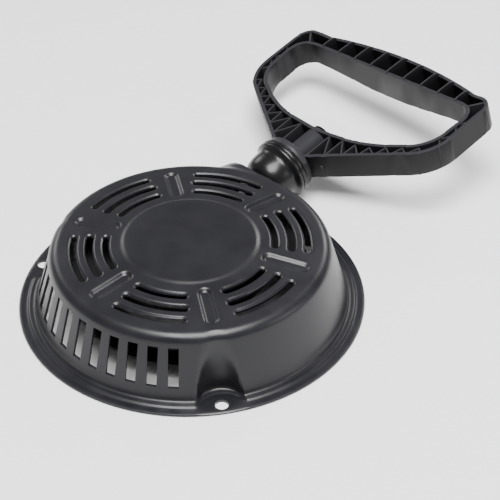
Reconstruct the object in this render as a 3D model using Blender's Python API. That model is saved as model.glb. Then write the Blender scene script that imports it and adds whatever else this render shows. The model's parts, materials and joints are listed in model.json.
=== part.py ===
"""Recoil starter: a pressed-steel case, a sprung rope reel with two pawls, and a large D-handle.

Frame: origin on the reel's axis in the plane of the case's flange, +Z up through the case,
+Y the plan direction in which the rope is pulled. Metres throughout.
"""
import math

import bmesh
import bpy
from mathutils import Matrix, Vector
from mathutils.geometry import convex_hull_2d

MM = 0.001
GAP = 0.3 * MM                      # between faces that touch on the real object

# Case
CASE_FLANGE_R = 100.0 * MM
CASE_SHEET = 1.5 * MM
CASE_HEIGHT = 43.2 * MM             # to the top of the raised centre disc
CASE_FOOT_R = 90.8 * MM             # the wall's line carried down to the flange plane
CASE_WALL_LEAN = 0.2933             # inward per unit of height
CASE_TOP_FALL = 0.085               # the top ring falls outward by this slope
CASE_SHOULDER_R = 6.5 * MM
DISC_R = 38.5 * MM
DISC_STEP = 0.8 * MM
LEDGE_R = 94.2 * MM
LEDGE_H = 0.8 * MM
BOLT_COUNT = 3
BOLT_CIRCLE_R = 93.8 * MM
BOLT_HOLE_R = 3.75 * MM
BOLT_PHASE = math.radians(-32.5)
RELIEF_R = 13.5 * MM                # upright scallop round each bolt
GROOVE_COUNT = 6
GROOVE_IN_R = 46.8 * MM
GROOVE_OUT_R = 66.8 * MM
GROOVE_HALF_W = 3.6 * MM
GROOVE_DEPTH = 1.3 * MM
SLOT_RINGS = ((48.1 * MM, 16.1, 2.5 * MM), (57.6 * MM, 17.0, 2.9 * MM), (66.6 * MM, 16.6, 2.5 * MM))
VENT_COUNT = 12
VENT_PITCH = math.radians(7.94)
VENT_WIDTH = 5.0 * MM
VENT_LOW = 9.5 * MM
VENT_HIGH = 32.3 * MM

# Rope and its outlet. Places along the rope's axis are counted from OUTLET, the middle of the dome's mouth.
ROPE_R = 2.5 * MM
OUTLET = Vector((-34.4, 107.8, 21.5)) * MM
ROPE_TILT = math.radians(12.0)
SPOUT_R = 20.7 * MM
SPOUT_RIGHT = -12.0 * MM
SPOUT_DRAFT = 0.3                   # outward per unit of depth
SPOUT_DEPTH = 30.0 * MM
SPOUT_FACE = -25.9 * MM
DOME_R = 16.5 * MM
BRIM_R = 19.4 * MM
BRIM_FACE = 2.2 * MM
NECK_R = 6.2 * MM
NECK_BEAD_R = 7.3 * MM
NECK_END = -32.0 * MM
EYELET_BORE_R = 3.1 * MM

# Reel
REEL_FLANGE_R = 68.0 * MM
REEL_HUB_R = 52.0 * MM
REEL_LOW = 7.0 * MM
REEL_FLANGE_T = 2.2 * MM
ROPE_LANE = 11.2 * MM               # inside width of the groove: two ropes abreast
ROPE_TURN_R = 60.0 * MM             # centre line of the outermost turn
PAWL_ROOM_R = 43.0 * MM             # underside recess that the engine's starter cup enters
PAWL_ROOM_TOP = 14.1 * MM
REEL_WEB = 4.0 * MM
SPRING_ROOM_R = 41.3 * MM
TOWER_WALL = 3.2 * MM
TOWER_TOP = 32.0 * MM
BOSS_R = 11.5 * MM
BOSS_LOW = 10.9 * MM
BUSH_WALL = 1.8 * MM
KNOT_R = 3.7 * MM
KNOT_PLACE_R = 47.5 * MM
KNOT_ANGLE = math.radians(140.0)

# Centre post and screw
POST_R = 6.0 * MM
POST_NOSE_R = 4.5 * MM
ARBOR_R = 9.0 * MM
POST_LOW = 5.6 * MM
POST_NOSE_TOP = 9.0 * MM
POST_FLANGE_R = 14.0 * MM
POST_FLANGE_T = 3.0 * MM
SCREW_R = 2.7 * MM
SCREW_HEAD = 4.0 * MM
SCREW_FLANGE_R = 8.0 * MM
SCREW_HEX_AF = 10.0 * MM
WASHER_R = 8.5 * MM
WASHER_T = 1.0 * MM

# Rewind spring
SPRING_TURNS = 7
SPRING_STRIP = 0.8 * MM
SPRING_WIDTH = 12.0 * MM

# Pawls and their guide
PAWL_PIVOT_R = 27.0 * MM
PAWL_LOW = 9.6 * MM
PAWL_T = 3.0 * MM
PAWL_EYE_R = 5.2 * MM
PAWL_LENGTH = 21.7 * MM
PAWL_LEAN = math.radians(8.0)       # of the line from pivot to tip, in towards the centre
PAWL_SWING = math.radians(30.0)
PIN_R = 3.0 * MM
PEG_R = 1.5 * MM
PEG_FROM_PIVOT = Vector((-6.0, -8.0)) * MM
GUIDE_R = 31.0 * MM
GUIDE_LOW = 6.2 * MM
GUIDE_T = 2.6 * MM
GUIDE_LAG = math.radians(35.0)
CLIP_HOLE_R = 9.2 * MM

# Handle, in its own frame: x across, y along the rope, z through its thickness
HANDLE_ROLL = math.radians(7.0)
HANDLE_TOP = 8.2 * MM
HANDLE_T = 16.6 * MM
HANDLE_BELLY = 4.6 * MM             # how much deeper the grip's underside is in the middle
HANDLE_SEAT = 3.0 * MM
HANDLE_FLANGE_R = 17.8 * MM
HANDLE_FLANGE_T = 4.6 * MM
HANDLE_CORNER = Vector((81.9, 50.3)) * MM
HANDLE_GRIP = Vector((82.4, 104.8)) * MM
HANDLE_BULGE = 11.5 * MM
HANDLE_RIM = 2.4 * MM               # walls along the outer edge and the window
HANDLE_CORNER_R = 16.0 * MM
HANDLE_GRIP_R = 8.0 * MM
HANDLE_FLOOR = 2.2 * MM             # skin under the open cells
RIB_T = 1.3 * MM
GRIP_RIBS = 9
GRIP_RIB_PITCH = 14.6 * MM
STRUT_RIBS = 7
SIDE_W = 7.8 * MM
GRIP_INNER = 95.6 * MM
WINDOW_APEX = 32.2 * MM
WINDOW_RADII = [40 * MM, 22 * MM, 12 * MM]   # over the strut, at the knee, at the grip
HANDLE_BOSS_R = 6.9 * MM
KNOT_POCKET_R = 5.2 * MM
KNOT_POCKET_AT = 24.0 * MM


# ---------------------------------------------------------------- helpers

def clear_scene():
    for obj in list(bpy.data.objects):
        bpy.data.objects.remove(obj, do_unlink=True)


def make_material(name, colour, roughness, metallic=0.0):
    mat = bpy.data.materials.new(name)
    mat.use_nodes = True
    shader = mat.node_tree.nodes["Principled BSDF"]
    shader.inputs["Base Color"].default_value = (*colour, 1.0)
    shader.inputs["Roughness"].default_value = roughness
    shader.inputs["Metallic"].default_value = metallic
    return mat


def empty(name, matrix, parent=None):
    obj = bpy.data.objects.new(name, None)
    bpy.context.collection.objects.link(obj)
    obj.parent = parent
    obj.matrix_local = matrix
    return obj


def finish(name, bm, mat, parent=None, smooth_deg=35.0):
    """Turns a bmesh into a named object with its faces pointing out."""
    bmesh.ops.remove_doubles(bm, verts=bm.verts, dist=1e-6)
    bmesh.ops.recalc_face_normals(bm, faces=bm.faces)
    mesh = bpy.data.meshes.new(name)
    bm.to_mesh(mesh)
    bm.free()
    if mat:
        mesh.materials.append(mat)
    mesh.shade_smooth()
    mesh.set_sharp_from_angle(angle=math.radians(smooth_deg))
    obj = bpy.data.objects.new(name, mesh)
    bpy.context.collection.objects.link(obj)
    obj.parent = parent
    return obj


def cutter(name, bm, parent=None):
    """A tool body for a Boolean: it shows as a wire and isn't a part."""
    obj = finish(name, bm, None, parent)
    obj.hide_render = True
    obj.display_type = "WIRE"
    return obj


def boolean(target, tool, operation):
    mod = target.modifiers.new(f"{operation.lower()}_{tool.name}", "BOOLEAN")
    mod.object = tool
    mod.operation = operation
    mod.solver = "EXACT"


def turned(outline, segments=64, along_y=False):
    """A solid of revolution about Z (or Y) from a closed outline of (radius, height) points."""
    bm = bmesh.new()
    verts = [bm.verts.new((r, 0.0, z)) for r, z in outline]
    pairs = zip(verts, verts[1:] + verts[:1])
    edges = [bm.edges.new(p) for p in pairs if max(p[0].co.x, p[1].co.x) > 1e-7]
    bmesh.ops.spin(bm, geom=verts + edges, cent=(0, 0, 0), axis=(0, 0, 1),
                   angle=math.tau, steps=segments, use_merge=True)
    bmesh.ops.remove_doubles(bm, verts=bm.verts, dist=1e-6)
    if along_y:
        bmesh.ops.rotate(bm, verts=bm.verts, cent=(0, 0, 0), matrix=Matrix.Rotation(-math.pi / 2, 3, "X"))
    return bm


def extruded(outline, low, high, bm=None):
    """A prism on Z from an outline of (x, y) points, added to bm if one is given."""
    bm = bm or bmesh.new()
    face = bm.faces.new([bm.verts.new((p[0], p[1], low)) for p in outline])
    made = bmesh.ops.extrude_face_region(bm, geom=[face])
    top = [g for g in made["geom"] if isinstance(g, bmesh.types.BMVert)]
    bmesh.ops.translate(bm, verts=top, vec=(0, 0, high - low))
    return bm


def circle(centre, radius, count=24, start=0.0):
    steps = [start + math.tau * i / count for i in range(count)]
    return [(centre[0] + radius * math.cos(a), centre[1] + radius * math.sin(a)) for a in steps]


def rounded(points, radii, steps=4, closed=True):
    """A polygon (or a polyline) with each corner turned into an arc of its radius."""
    out = []
    last = len(points) - 1
    for i, (point, radius) in enumerate(zip(points, radii)):
        corner = Vector(point)
        if radius <= 0 or (not closed and i in (0, last)):
            out.append(tuple(corner))
            continue
        before = (Vector(points[i - 1]) - corner).normalized()
        after = (Vector(points[(i + 1) % len(points)]) - corner).normalized()
        half = before.angle(after) / 2
        reach = radius / math.tan(half)
        centre = corner + (before + after).normalized() * (radius / math.sin(half))
        start = corner + before * reach - centre
        sweep = start.angle_signed(corner + after * reach - centre)
        for k in range(steps + 1):
            turn = Matrix.Rotation(-sweep * k / steps, 2)
            out.append(tuple(centre + turn @ start))
    return out


def on_bolt_circle(index, radius=BOLT_CIRCLE_R):
    angle = BOLT_PHASE + math.tau * index / BOLT_COUNT
    return Vector((radius * math.cos(angle), radius * math.sin(angle)))


def capsule(start, end, half_width, steps=4):
    """Outline of a straight slot with round ends."""
    start, end = Vector(start), Vector(end)
    heading = math.atan2(end.y - start.y, end.x - start.x)
    out = []
    for centre, first in ((end, heading - math.pi / 2), (start, heading + math.pi / 2)):
        for k in range(steps + 1):
            angle = first + math.pi * k / steps
            out.append((centre.x + half_width * math.cos(angle), centre.y + half_width * math.sin(angle)))
    return out


def swept_outline(path, half_width, steps=5):
    """Outline of a curved slot of constant width along a path, with round ends."""
    path = [Vector(p) for p in path]
    normals = []
    for i, _ in enumerate(path):
        run = path[min(i + 1, len(path) - 1)] - path[max(i - 1, 0)]
        normals.append(Vector((-run.y, run.x)).normalized())
    left = [p + n * half_width for p, n in zip(path, normals)]
    right = [p - n * half_width for p, n in zip(path, normals)]

    def cap(centre, rim):
        return [centre + Matrix.Rotation(math.pi * k / steps, 2) @ (rim - centre) for k in range(1, steps)]

    return right + cap(path[-1], right[-1]) + left[::-1] + cap(path[0], left[0])


def wire(name, points, radius, mat, parent=None, resolution=2):
    """A round rod or rope along a polyline."""
    curve = bpy.data.curves.new(name, "CURVE")
    curve.dimensions = "3D"
    curve.bevel_depth = radius
    curve.bevel_resolution = resolution
    curve.use_fill_caps = True
    spline = curve.splines.new("POLY")
    spline.points.add(len(points) - 1)
    for node, point in zip(spline.points, points):
        node.co = (*point, 1.0)
    curve.materials.append(mat)
    obj = bpy.data.objects.new(name, curve)
    bpy.context.collection.objects.link(obj)
    obj.parent = parent
    return obj


# ---------------------------------------------------------------- case

def wall_r(z):
    return CASE_FOOT_R - CASE_WALL_LEAN * z


def top_z(r):
    """Height of the falling top ring outside the centre disc."""
    return CASE_HEIGHT - DISC_STEP - CASE_TOP_FALL * (r - DISC_R)


def shoulder_corner():
    """Where the wall's line meets the top ring's line."""
    rise = top_z(0.0)
    z = (rise - CASE_TOP_FALL * CASE_FOOT_R) / (1.0 - CASE_TOP_FALL * CASE_WALL_LEAN)
    return wall_r(z), z


def case_outline(inset):
    """Profile of the case's outside (inset 0), or of its hollow (inset one sheet)."""
    corner_r, corner_z = shoulder_corner()
    step = 2.0 * MM
    low = 0.0 if inset == 0 else -2.0 * MM
    crown = [(0.0, CASE_HEIGHT - inset), (DISC_R - inset / 2, CASE_HEIGHT - inset),
             (DISC_R + step, top_z(DISC_R + step) - inset)]
    shoulder = rounded([crown[-1], (corner_r - inset, corner_z - inset), (wall_r(0.0) - inset, 0.0)],
                       [0.0, CASE_SHOULDER_R - inset / 2, 0.0], steps=5, closed=False)
    foot = [(wall_r(0.0) - inset, low)]
    if inset == 0:
        shoulder = shoulder[:-1]
        foot_z = CASE_SHEET + LEDGE_H + 1.4 * MM
        foot = [(wall_r(foot_z), foot_z), (wall_r(0.0) + 0.8 * MM, CASE_SHEET + LEDGE_H),
                (LEDGE_R - 0.4 * MM, CASE_SHEET + LEDGE_H), (LEDGE_R, CASE_SHEET),
                (CASE_FLANGE_R, CASE_SHEET), (CASE_FLANGE_R, 0.0)]
    return crown[:-1] + shoulder + foot + [(0.0, low)]


def spout_body(inset):
    """The bulge of the wall whose flat face carries the rope outlet, square to the rope."""
    radius = SPOUT_R - inset
    right = SPOUT_RIGHT - OUTLET.x - inset
    outline = [(radius * math.cos(a), radius * math.sin(a)) for a in (math.radians(90 + 15 * k) for k in range(11))]
    outline += rounded([(right, outline[-1][1]), (right, radius), (0.0, radius)], [0, 5 * MM, 0], closed=False)[:-1]
    bm = extruded(outline, 0.0, SPOUT_DEPTH)
    for v in bm.verts:
        if v.co.z > SPOUT_DEPTH / 2:
            v.co.xy += v.co.xy.normalized() * SPOUT_DRAFT * SPOUT_DEPTH
    front = [e for e in bm.edges if max(v.co.z for v in e.verts) < 1e-6]
    bmesh.ops.bevel(bm, geom=front, offset=3.0 * MM - inset / 2, segments=3, profile=0.5, affect="EDGES", material=-1)
    place = Matrix.Translation(OUTLET) @ Matrix.Rotation(ROPE_TILT, 4, "X")
    place = place @ Matrix.Translation((0, SPOUT_FACE - inset, 0)) @ Matrix.Rotation(math.pi / 2, 4, "X")
    bmesh.ops.transform(bm, matrix=place, verts=bm.verts)
    for height, up in ((CASE_SHEET if inset == 0 else -2.0 * MM, -1), (top_z(76 * MM) - inset, 1)):
        every = list(bm.verts) + list(bm.edges) + list(bm.faces)
        cut = bmesh.ops.bisect_plane(bm, geom=every, plane_co=(0, 0, height), plane_no=(0, 0, up), clear_outer=True)
        rim = [g for g in cut["geom_cut"] if isinstance(g, bmesh.types.BMEdge)]
        bmesh.ops.edgenet_fill(bm, edges=rim)
    return bm


def relief_cylinders(radius, low, high):
    bm = bmesh.new()
    for i in range(BOLT_COUNT):
        extruded(circle(on_bolt_circle(i), radius, 32), low, high, bm)
    return bm


def groove_bodies(grow, depth):
    """The six pressed radial grooves: narrow at the floor, wide at the top."""
    bm = bmesh.new()
    for i in range(GROOVE_COUNT):
        angle = BOLT_PHASE + math.tau * i / GROOVE_COUNT
        ray = Vector((math.cos(angle), math.sin(angle)))
        outline = capsule(ray * GROOVE_IN_R, ray * GROOVE_OUT_R, GROOVE_HALF_W + grow)
        one = bmesh.new()
        extruded(outline, 0.0, 8.0 * MM, one)
        floor = [v for v in one.verts if v.co.z < 1e-6]
        middle = ray * ((GROOVE_IN_R + GROOVE_OUT_R) / 2)
        for v in floor:
            across = Vector(v.co[:2]) - middle
            v.co.x -= across.normalized().x * 1.3 * MM
            v.co.y -= across.normalized().y * 1.3 * MM
        for v in one.verts:
            v.co.z += top_z(v.co.xy.length) - depth
        mesh = bpy.data.meshes.new("groove_scratch")
        one.to_mesh(mesh)
        one.free()
        bm.from_mesh(mesh)
        bpy.data.meshes.remove(mesh)
    return bm


def slot_bodies():
    bm = bmesh.new()
    for group in range(GROOVE_COUNT):
        middle = BOLT_PHASE + math.tau * (group + 0.5) / GROOVE_COUNT
        for radius, half_deg, half_width in SLOT_RINGS:
            half = math.radians(half_deg)
            angles = [middle - half + 2 * half * k / 6 for k in range(7)]
            path = [(radius * math.cos(a), radius * math.sin(a)) for a in angles]
            extruded(swept_outline(path, half_width, steps=4), 30.0 * MM, CASE_HEIGHT + 5.0 * MM, bm)
    return bm


def vent_bodies():
    bm = bmesh.new()
    middle = BOLT_PHASE - math.pi / BOLT_COUNT
    half = VENT_WIDTH / 2
    for k in range(VENT_COUNT):
        angle = middle + (k - (VENT_COUNT - 1) / 2) * VENT_PITCH
        turn = Matrix.Rotation(angle, 2)
        corners = ((76.0 * MM, -half), (96.0 * MM, -half), (96.0 * MM, half), (76.0 * MM, half))
        extruded([turn @ Vector(c) for c in corners], VENT_LOW, VENT_HIGH, bm)
    return bm


def bolt_holes():
    bm = bmesh.new()
    for i in range(BOLT_COUNT):
        extruded(circle(on_bolt_circle(i), BOLT_HOLE_R, 20), -3 * MM, CASE_SHEET + 3 * MM, bm)
    return bm


def build_case(mats, rope_axis):
    case = finish("case", turned(case_outline(0.0), 72), mats["satin_black"])
    hollow = cutter("case_hollow", turned(case_outline(CASE_SHEET), 72))
    boolean(case, cutter("spout_outside", spout_body(0.0)), "UNION")
    boolean(hollow, cutter("spout_inside", spout_body(CASE_SHEET)), "UNION")
    boolean(case, cutter("reliefs", relief_cylinders(RELIEF_R, CASE_SHEET, CASE_HEIGHT + 5 * MM)), "DIFFERENCE")
    skin = relief_cylinders(RELIEF_R + CASE_SHEET, -5 * MM, CASE_HEIGHT + 8 * MM)
    boolean(hollow, cutter("relief_skins", skin), "DIFFERENCE")
    boolean(case, cutter("grooves", groove_bodies(0.0, GROOVE_DEPTH)), "DIFFERENCE")
    boolean(hollow, cutter("groove_skins", groove_bodies(CASE_SHEET, GROOVE_DEPTH + CASE_SHEET)), "DIFFERENCE")
    boolean(case, hollow, "DIFFERENCE")
    boolean(case, cutter("slots", slot_bodies()), "DIFFERENCE")
    boolean(case, cutter("vents", vent_bodies()), "DIFFERENCE")
    boolean(case, cutter("bolt_holes", bolt_holes()), "DIFFERENCE")
    bore = NECK_R + GAP
    outlet = turned([(0, SPOUT_FACE - 8 * MM), (bore, SPOUT_FACE - 8 * MM), (bore, SPOUT_FACE + 8 * MM),
                     (0, SPOUT_FACE + 8 * MM)], 32, along_y=True)
    boolean(case, cutter("outlet_hole", outlet, rope_axis), "DIFFERENCE")
    return case


# ---------------------------------------------------------------- rope outlet

def build_outlet(mats, rope_axis):
    at = SPOUT_FACE + GAP
    wall = 1.9 * MM
    outside = [(NECK_R, NECK_END), (NECK_R, at), (NECK_BEAD_R, at), (NECK_BEAD_R, at + 2.2 * MM),
               (NECK_R + 0.2 * MM, at + 2.8 * MM), (NECK_R + 0.2 * MM, at + 4.6 * MM)]
    shoulder = [(DOME_R * s, -21.5 * MM + rise * MM) for s, rise in
                ((0.52, 0.2), (0.72, 1.0), (0.86, 2.6), (0.95, 5.2), (0.99, 8.6), (1.0, 12.5))]
    brim = [(DOME_R + 0.4 * MM, -5.6 * MM), (BRIM_R - 0.9 * MM, -3.6 * MM), (BRIM_R, -2.4 * MM),
            (BRIM_R, BRIM_FACE - 0.6 * MM), (BRIM_R - 0.8 * MM, BRIM_FACE)]
    bell = [(17.5 * MM, BRIM_FACE), (17.5 * MM, -3.0 * MM), (DOME_R - wall, -6.5 * MM),
            (DOME_R - wall, -11.0 * MM), (DOME_R * 0.93 - wall, -15.0 * MM), (DOME_R * 0.8 - wall, -18.0 * MM),
            (NECK_R - wall, -20.0 * MM), (NECK_R - wall, NECK_END)]
    finish("outlet_dome", turned(outside + shoulder + brim + bell, 36, along_y=True), mats["gloss_black"], rope_axis)

    ring_high = SPOUT_FACE - CASE_SHEET - GAP
    ring_low = ring_high - 1.8 * MM
    ring = [(NECK_R + GAP, ring_low), (9.5 * MM, ring_low), (9.5 * MM, ring_high), (NECK_R + GAP, ring_high)]
    finish("outlet_lock_ring", turned(ring, 32, along_y=True), mats["zinc"], rope_axis)

    bore_r = NECK_R - wall - GAP
    eyelet = [(EYELET_BORE_R, NECK_END + 0.6 * MM), (EYELET_BORE_R + 1.0 * MM, NECK_END - 1.8 * MM),
              (NECK_R - 0.2 * MM, NECK_END - 1.8 * MM), (NECK_R - 0.2 * MM, NECK_END - GAP),
              (bore_r, NECK_END - GAP), (bore_r, -22.5 * MM), (EYELET_BORE_R, -22.5 * MM)]
    finish("rope_eyelet", turned(eyelet, 24, along_y=True), mats["zinc"], rope_axis)

    bumper = [(12.0 * MM, -0.6 * MM), (17.5 * MM - GAP, -0.6 * MM), (17.5 * MM - GAP, HANDLE_SEAT - GAP),
              (12.0 * MM, HANDLE_SEAT - GAP)]
    finish("bumper_ring", turned(bumper, 32, along_y=True), mats["rubber"], rope_axis)


# ---------------------------------------------------------------- centre post

def build_centre(mats):
    top = CASE_HEIGHT - CASE_SHEET - GAP
    arbor_low = PAWL_ROOM_TOP + REEL_WEB + 2 * GAP
    bore = SCREW_R + GAP
    post = [(bore, POST_LOW), (POST_NOSE_R, POST_LOW), (POST_NOSE_R, POST_NOSE_TOP), (POST_R, POST_NOSE_TOP),
            (POST_R, arbor_low), (ARBOR_R, arbor_low), (ARBOR_R, top - POST_FLANGE_T),
            (POST_FLANGE_R, top - POST_FLANGE_T), (POST_FLANGE_R, top), (0.0, top), (0.0, 22 * MM), (bore, 22 * MM)]
    obj = finish("centre_post", turned(post, 28), mats["steel"])
    notch = extruded([(6.0 * MM, -SPRING_STRIP), (12 * MM, -SPRING_STRIP), (12 * MM, SPRING_STRIP),
                      (6.0 * MM, SPRING_STRIP)], arbor_low - MM, TOWER_TOP)
    boolean(obj, cutter("tang_notch", notch), "DIFFERENCE")

    washer_low = SCREW_HEAD + GAP
    washer = [(SCREW_R + GAP, washer_low), (WASHER_R, washer_low), (WASHER_R, washer_low + WASHER_T),
              (SCREW_R + GAP, washer_low + WASHER_T)]
    finish("thrust_washer", turned(washer, 32), mats["zinc"])

    hex_top = SCREW_HEAD - 1.1 * MM
    shank = [(0, hex_top), (SCREW_FLANGE_R, hex_top), (SCREW_FLANGE_R, SCREW_HEAD), (SCREW_R, SCREW_HEAD),
             (SCREW_R, 20 * MM), (0, 20 * MM)]
    screw = finish("centre_screw", turned(shank, 32), mats["zinc"])
    hexagon = extruded(circle((0, 0), SCREW_HEX_AF / 2 / math.cos(math.pi / 6), 6), 0.0, hex_top + 0.5 * MM)
    boolean(screw, cutter("screw_hexagon", hexagon), "UNION")


def build_rewind_spring(mats):
    low = PAWL_ROOM_TOP + REEL_WEB + 3 * GAP
    inner, outer = ARBOR_R + 1.4 * MM, SPRING_ROOM_R - 1.4 * MM
    count = SPRING_TURNS * 16
    path = [Vector((ARBOR_R - 2.0 * MM, 0.0)), Vector((ARBOR_R + 0.4 * MM, 0.0))]
    for k in range(1, count + 1):
        share = k / count
        angle = math.tau * SPRING_TURNS * share
        radius = inner + (outer - inner) * share
        path.append(Vector((radius * math.cos(angle), radius * math.sin(angle))))
    path.append(Vector((SPRING_ROOM_R + 2.0 * MM, 0.0)))
    bm = bmesh.new()
    verts = [bm.verts.new((p.x, p.y, low)) for p in path]
    edges = [bm.edges.new(pair) for pair in zip(verts, verts[1:])]
    made = bmesh.ops.extrude_edge_only(bm, edges=edges)
    rim = [g for g in made["geom"] if isinstance(g, bmesh.types.BMVert)]
    bmesh.ops.translate(bm, verts=rim, vec=(0, 0, SPRING_WIDTH))
    spring = finish("rewind_spring", bm, mats["spring_steel"])
    solid = spring.modifiers.new("strip", "SOLIDIFY")
    solid.thickness = SPRING_STRIP
    solid.offset = 0.0
    return spring


# ---------------------------------------------------------------- reel

def lane_low():
    return REEL_LOW + REEL_FLANGE_T


def build_reel(mats):
    bush_r = POST_R + GAP + BUSH_WALL
    floor = PAWL_ROOM_TOP + REEL_WEB
    lane_high = lane_low() + ROPE_LANE
    tower_r = SPRING_ROOM_R + TOWER_WALL
    outline = [(bush_r + GAP, BOSS_LOW), (BOSS_R, BOSS_LOW), (BOSS_R, PAWL_ROOM_TOP),
               (PAWL_ROOM_R, PAWL_ROOM_TOP), (PAWL_ROOM_R, REEL_LOW), (REEL_FLANGE_R, REEL_LOW),
               (REEL_FLANGE_R, lane_low() - 0.4 * MM), (REEL_HUB_R, lane_low()), (REEL_HUB_R, lane_high),
               (REEL_FLANGE_R, lane_high + 0.4 * MM), (REEL_FLANGE_R, lane_high + REEL_FLANGE_T),
               (tower_r, lane_high + REEL_FLANGE_T), (tower_r, TOWER_TOP), (SPRING_ROOM_R, TOWER_TOP),
               (SPRING_ROOM_R, floor), (bush_r + GAP, floor)]
    reel = finish("rope_reel", turned(outline, 60), mats["nylon_black"])

    at = Vector((math.cos(KNOT_ANGLE), math.sin(KNOT_ANGLE)))
    pocket = extruded(circle(at * KNOT_PLACE_R, KNOT_R + 2 * GAP, 20), REEL_LOW - MM, 15.5 * MM)
    boolean(reel, cutter("knot_pocket", pocket), "DIFFERENCE")
    passage = turned([(0, 0), (ROPE_R + GAP, 0), (ROPE_R + GAP, 9 * MM), (0, 9 * MM)], 20)
    heading = Matrix.Translation(Vector((*(at * KNOT_PLACE_R), lane_low() + ROPE_R + 0.6 * MM)))
    heading = heading @ Vector((*at, 0)).to_track_quat("Z", "Y").to_matrix().to_4x4()
    bmesh.ops.transform(passage, matrix=heading, verts=passage.verts)
    boolean(reel, cutter("rope_passage", passage), "DIFFERENCE")

    holes = bmesh.new()
    for side in (1, -1):
        extruded(circle((side * PAWL_PIVOT_R, 0), PIN_R + GAP, 20), 13 * MM, floor - 0.9 * MM, holes)
    boolean(reel, cutter("pin_holes", holes), "DIFFERENCE")
    hook = extruded([(SPRING_ROOM_R - 2 * MM, -2.6 * SPRING_STRIP), (tower_r + 2 * MM, -2.6 * SPRING_STRIP),
                     (tower_r + 2 * MM, 1.6 * SPRING_STRIP), (SPRING_ROOM_R - 2 * MM, 1.6 * SPRING_STRIP)],
                    floor + GAP, TOWER_TOP + MM)
    boolean(reel, cutter("hook_notch", hook), "DIFFERENCE")

    bush = [(POST_R + GAP, BOSS_LOW), (bush_r, BOSS_LOW), (bush_r, floor), (POST_R + GAP, floor)]
    finish("reel_bush", turned(bush, 32), mats["bronze"])

    cover_low = TOWER_TOP + GAP
    cover = [(ARBOR_R + 2 * GAP, cover_low), (tower_r + GAP, cover_low), (tower_r + GAP, cover_low - 4 * MM),
             (tower_r + GAP + MM, cover_low - 4 * MM), (tower_r + GAP + MM, cover_low + MM),
             (ARBOR_R + 2 * GAP, cover_low + MM)]
    finish("spring_cover", turned(cover, 44), mats["zinc"])

    wound_r = ROPE_TURN_R - ROPE_R - GAP
    wound = [(REEL_HUB_R + GAP, lane_low() + GAP), (wound_r, lane_low() + GAP),
             (wound_r, lane_high - GAP), (REEL_HUB_R + GAP, lane_high - GAP)]
    finish("rope_wound", turned(wound, 40), mats["rope"])

    knot = bmesh.new()
    bmesh.ops.create_icosphere(knot, subdivisions=2, radius=KNOT_R)
    bmesh.ops.translate(knot, verts=knot.verts, vec=(*(at * KNOT_PLACE_R), REEL_LOW + KNOT_R + GAP))
    finish("reel_knot", knot, mats["rope"], smooth_deg=60)


# ---------------------------------------------------------------- pawls and guide

def pawl_matrix(side):
    """Pawl a sits at +X; pawl b is its half-turn copy."""
    return Matrix.Rotation(0.0 if side == "a" else math.pi, 4, "Z")


def peg_place(swing):
    """Centre of pawl a's peg, in the reel's frame, when the pawl has swung out by this angle."""
    return Vector((PAWL_PIVOT_R, 0.0)) + Matrix.Rotation(swing, 2) @ PEG_FROM_PIVOT


def build_pawl(side, mats):
    to_tip = Vector((-math.sin(PAWL_LEAN), -math.cos(PAWL_LEAN)))
    across = Vector((-to_tip.y, to_tip.x))
    tip = to_tip * PAWL_LENGTH
    corners = [tip + across * 2.4 * MM, tip - across * 2.8 * MM, tip * 0.93 - across * 3.4 * MM]
    cloud = [Vector(p) for p in circle((0, 0), PAWL_EYE_R, 24)]
    cloud += [Vector(p) for p in circle(PEG_FROM_PIVOT, PEG_R + 1.3 * MM, 16)] + corners
    outline = [cloud[i] for i in convex_hull_2d(cloud)]
    turn = pawl_matrix(side)
    hinge = empty(f"pawl_{side}_hinge", turn @ Matrix.Translation((PAWL_PIVOT_R, 0, 0)))
    pawl = finish(f"pawl_{side}", extruded(outline, PAWL_LOW, PAWL_LOW + PAWL_T), mats["steel"], hinge)
    eye = extruded(circle((0, 0), PIN_R + GAP, 24), PAWL_LOW - MM, PAWL_LOW + PAWL_T + MM)
    boolean(pawl, cutter(f"pawl_{side}_eye", eye, hinge), "DIFFERENCE")
    peg = extruded(circle(PEG_FROM_PIVOT, PEG_R, 16), GUIDE_LOW + GAP, PAWL_LOW + MM)
    boolean(pawl, cutter(f"pawl_{side}_peg", peg, hinge), "UNION")

    pin_top = PAWL_ROOM_TOP + REEL_WEB - 0.9 * MM - GAP
    pin = extruded(circle((0, 0), PIN_R, 24), PAWL_LOW - GAP, pin_top)
    finish(f"pawl_pin_{side}", pin, mats["steel"], hinge)

    z = (PAWL_LOW + PAWL_T + PAWL_ROOM_TOP) / 2
    ring = PIN_R + 1.0 * MM
    first, last = math.radians(20), math.radians(290)
    arc = [first + (last - first) * k / 14 for k in range(15)]
    path = [Vector((ring * math.cos(a), ring * math.sin(a), z)) for a in arc]
    lead_in = path[0] + Vector((math.sin(first), -math.cos(first), 0)) * 7 * MM
    lead_out = path[-1] + Vector((-math.sin(last), math.cos(last), 0)) * 7 * MM
    wire(f"pawl_spring_{side}", [lead_in, *path, lead_out], 0.4 * MM, mats["spring_steel"], hinge)


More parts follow.
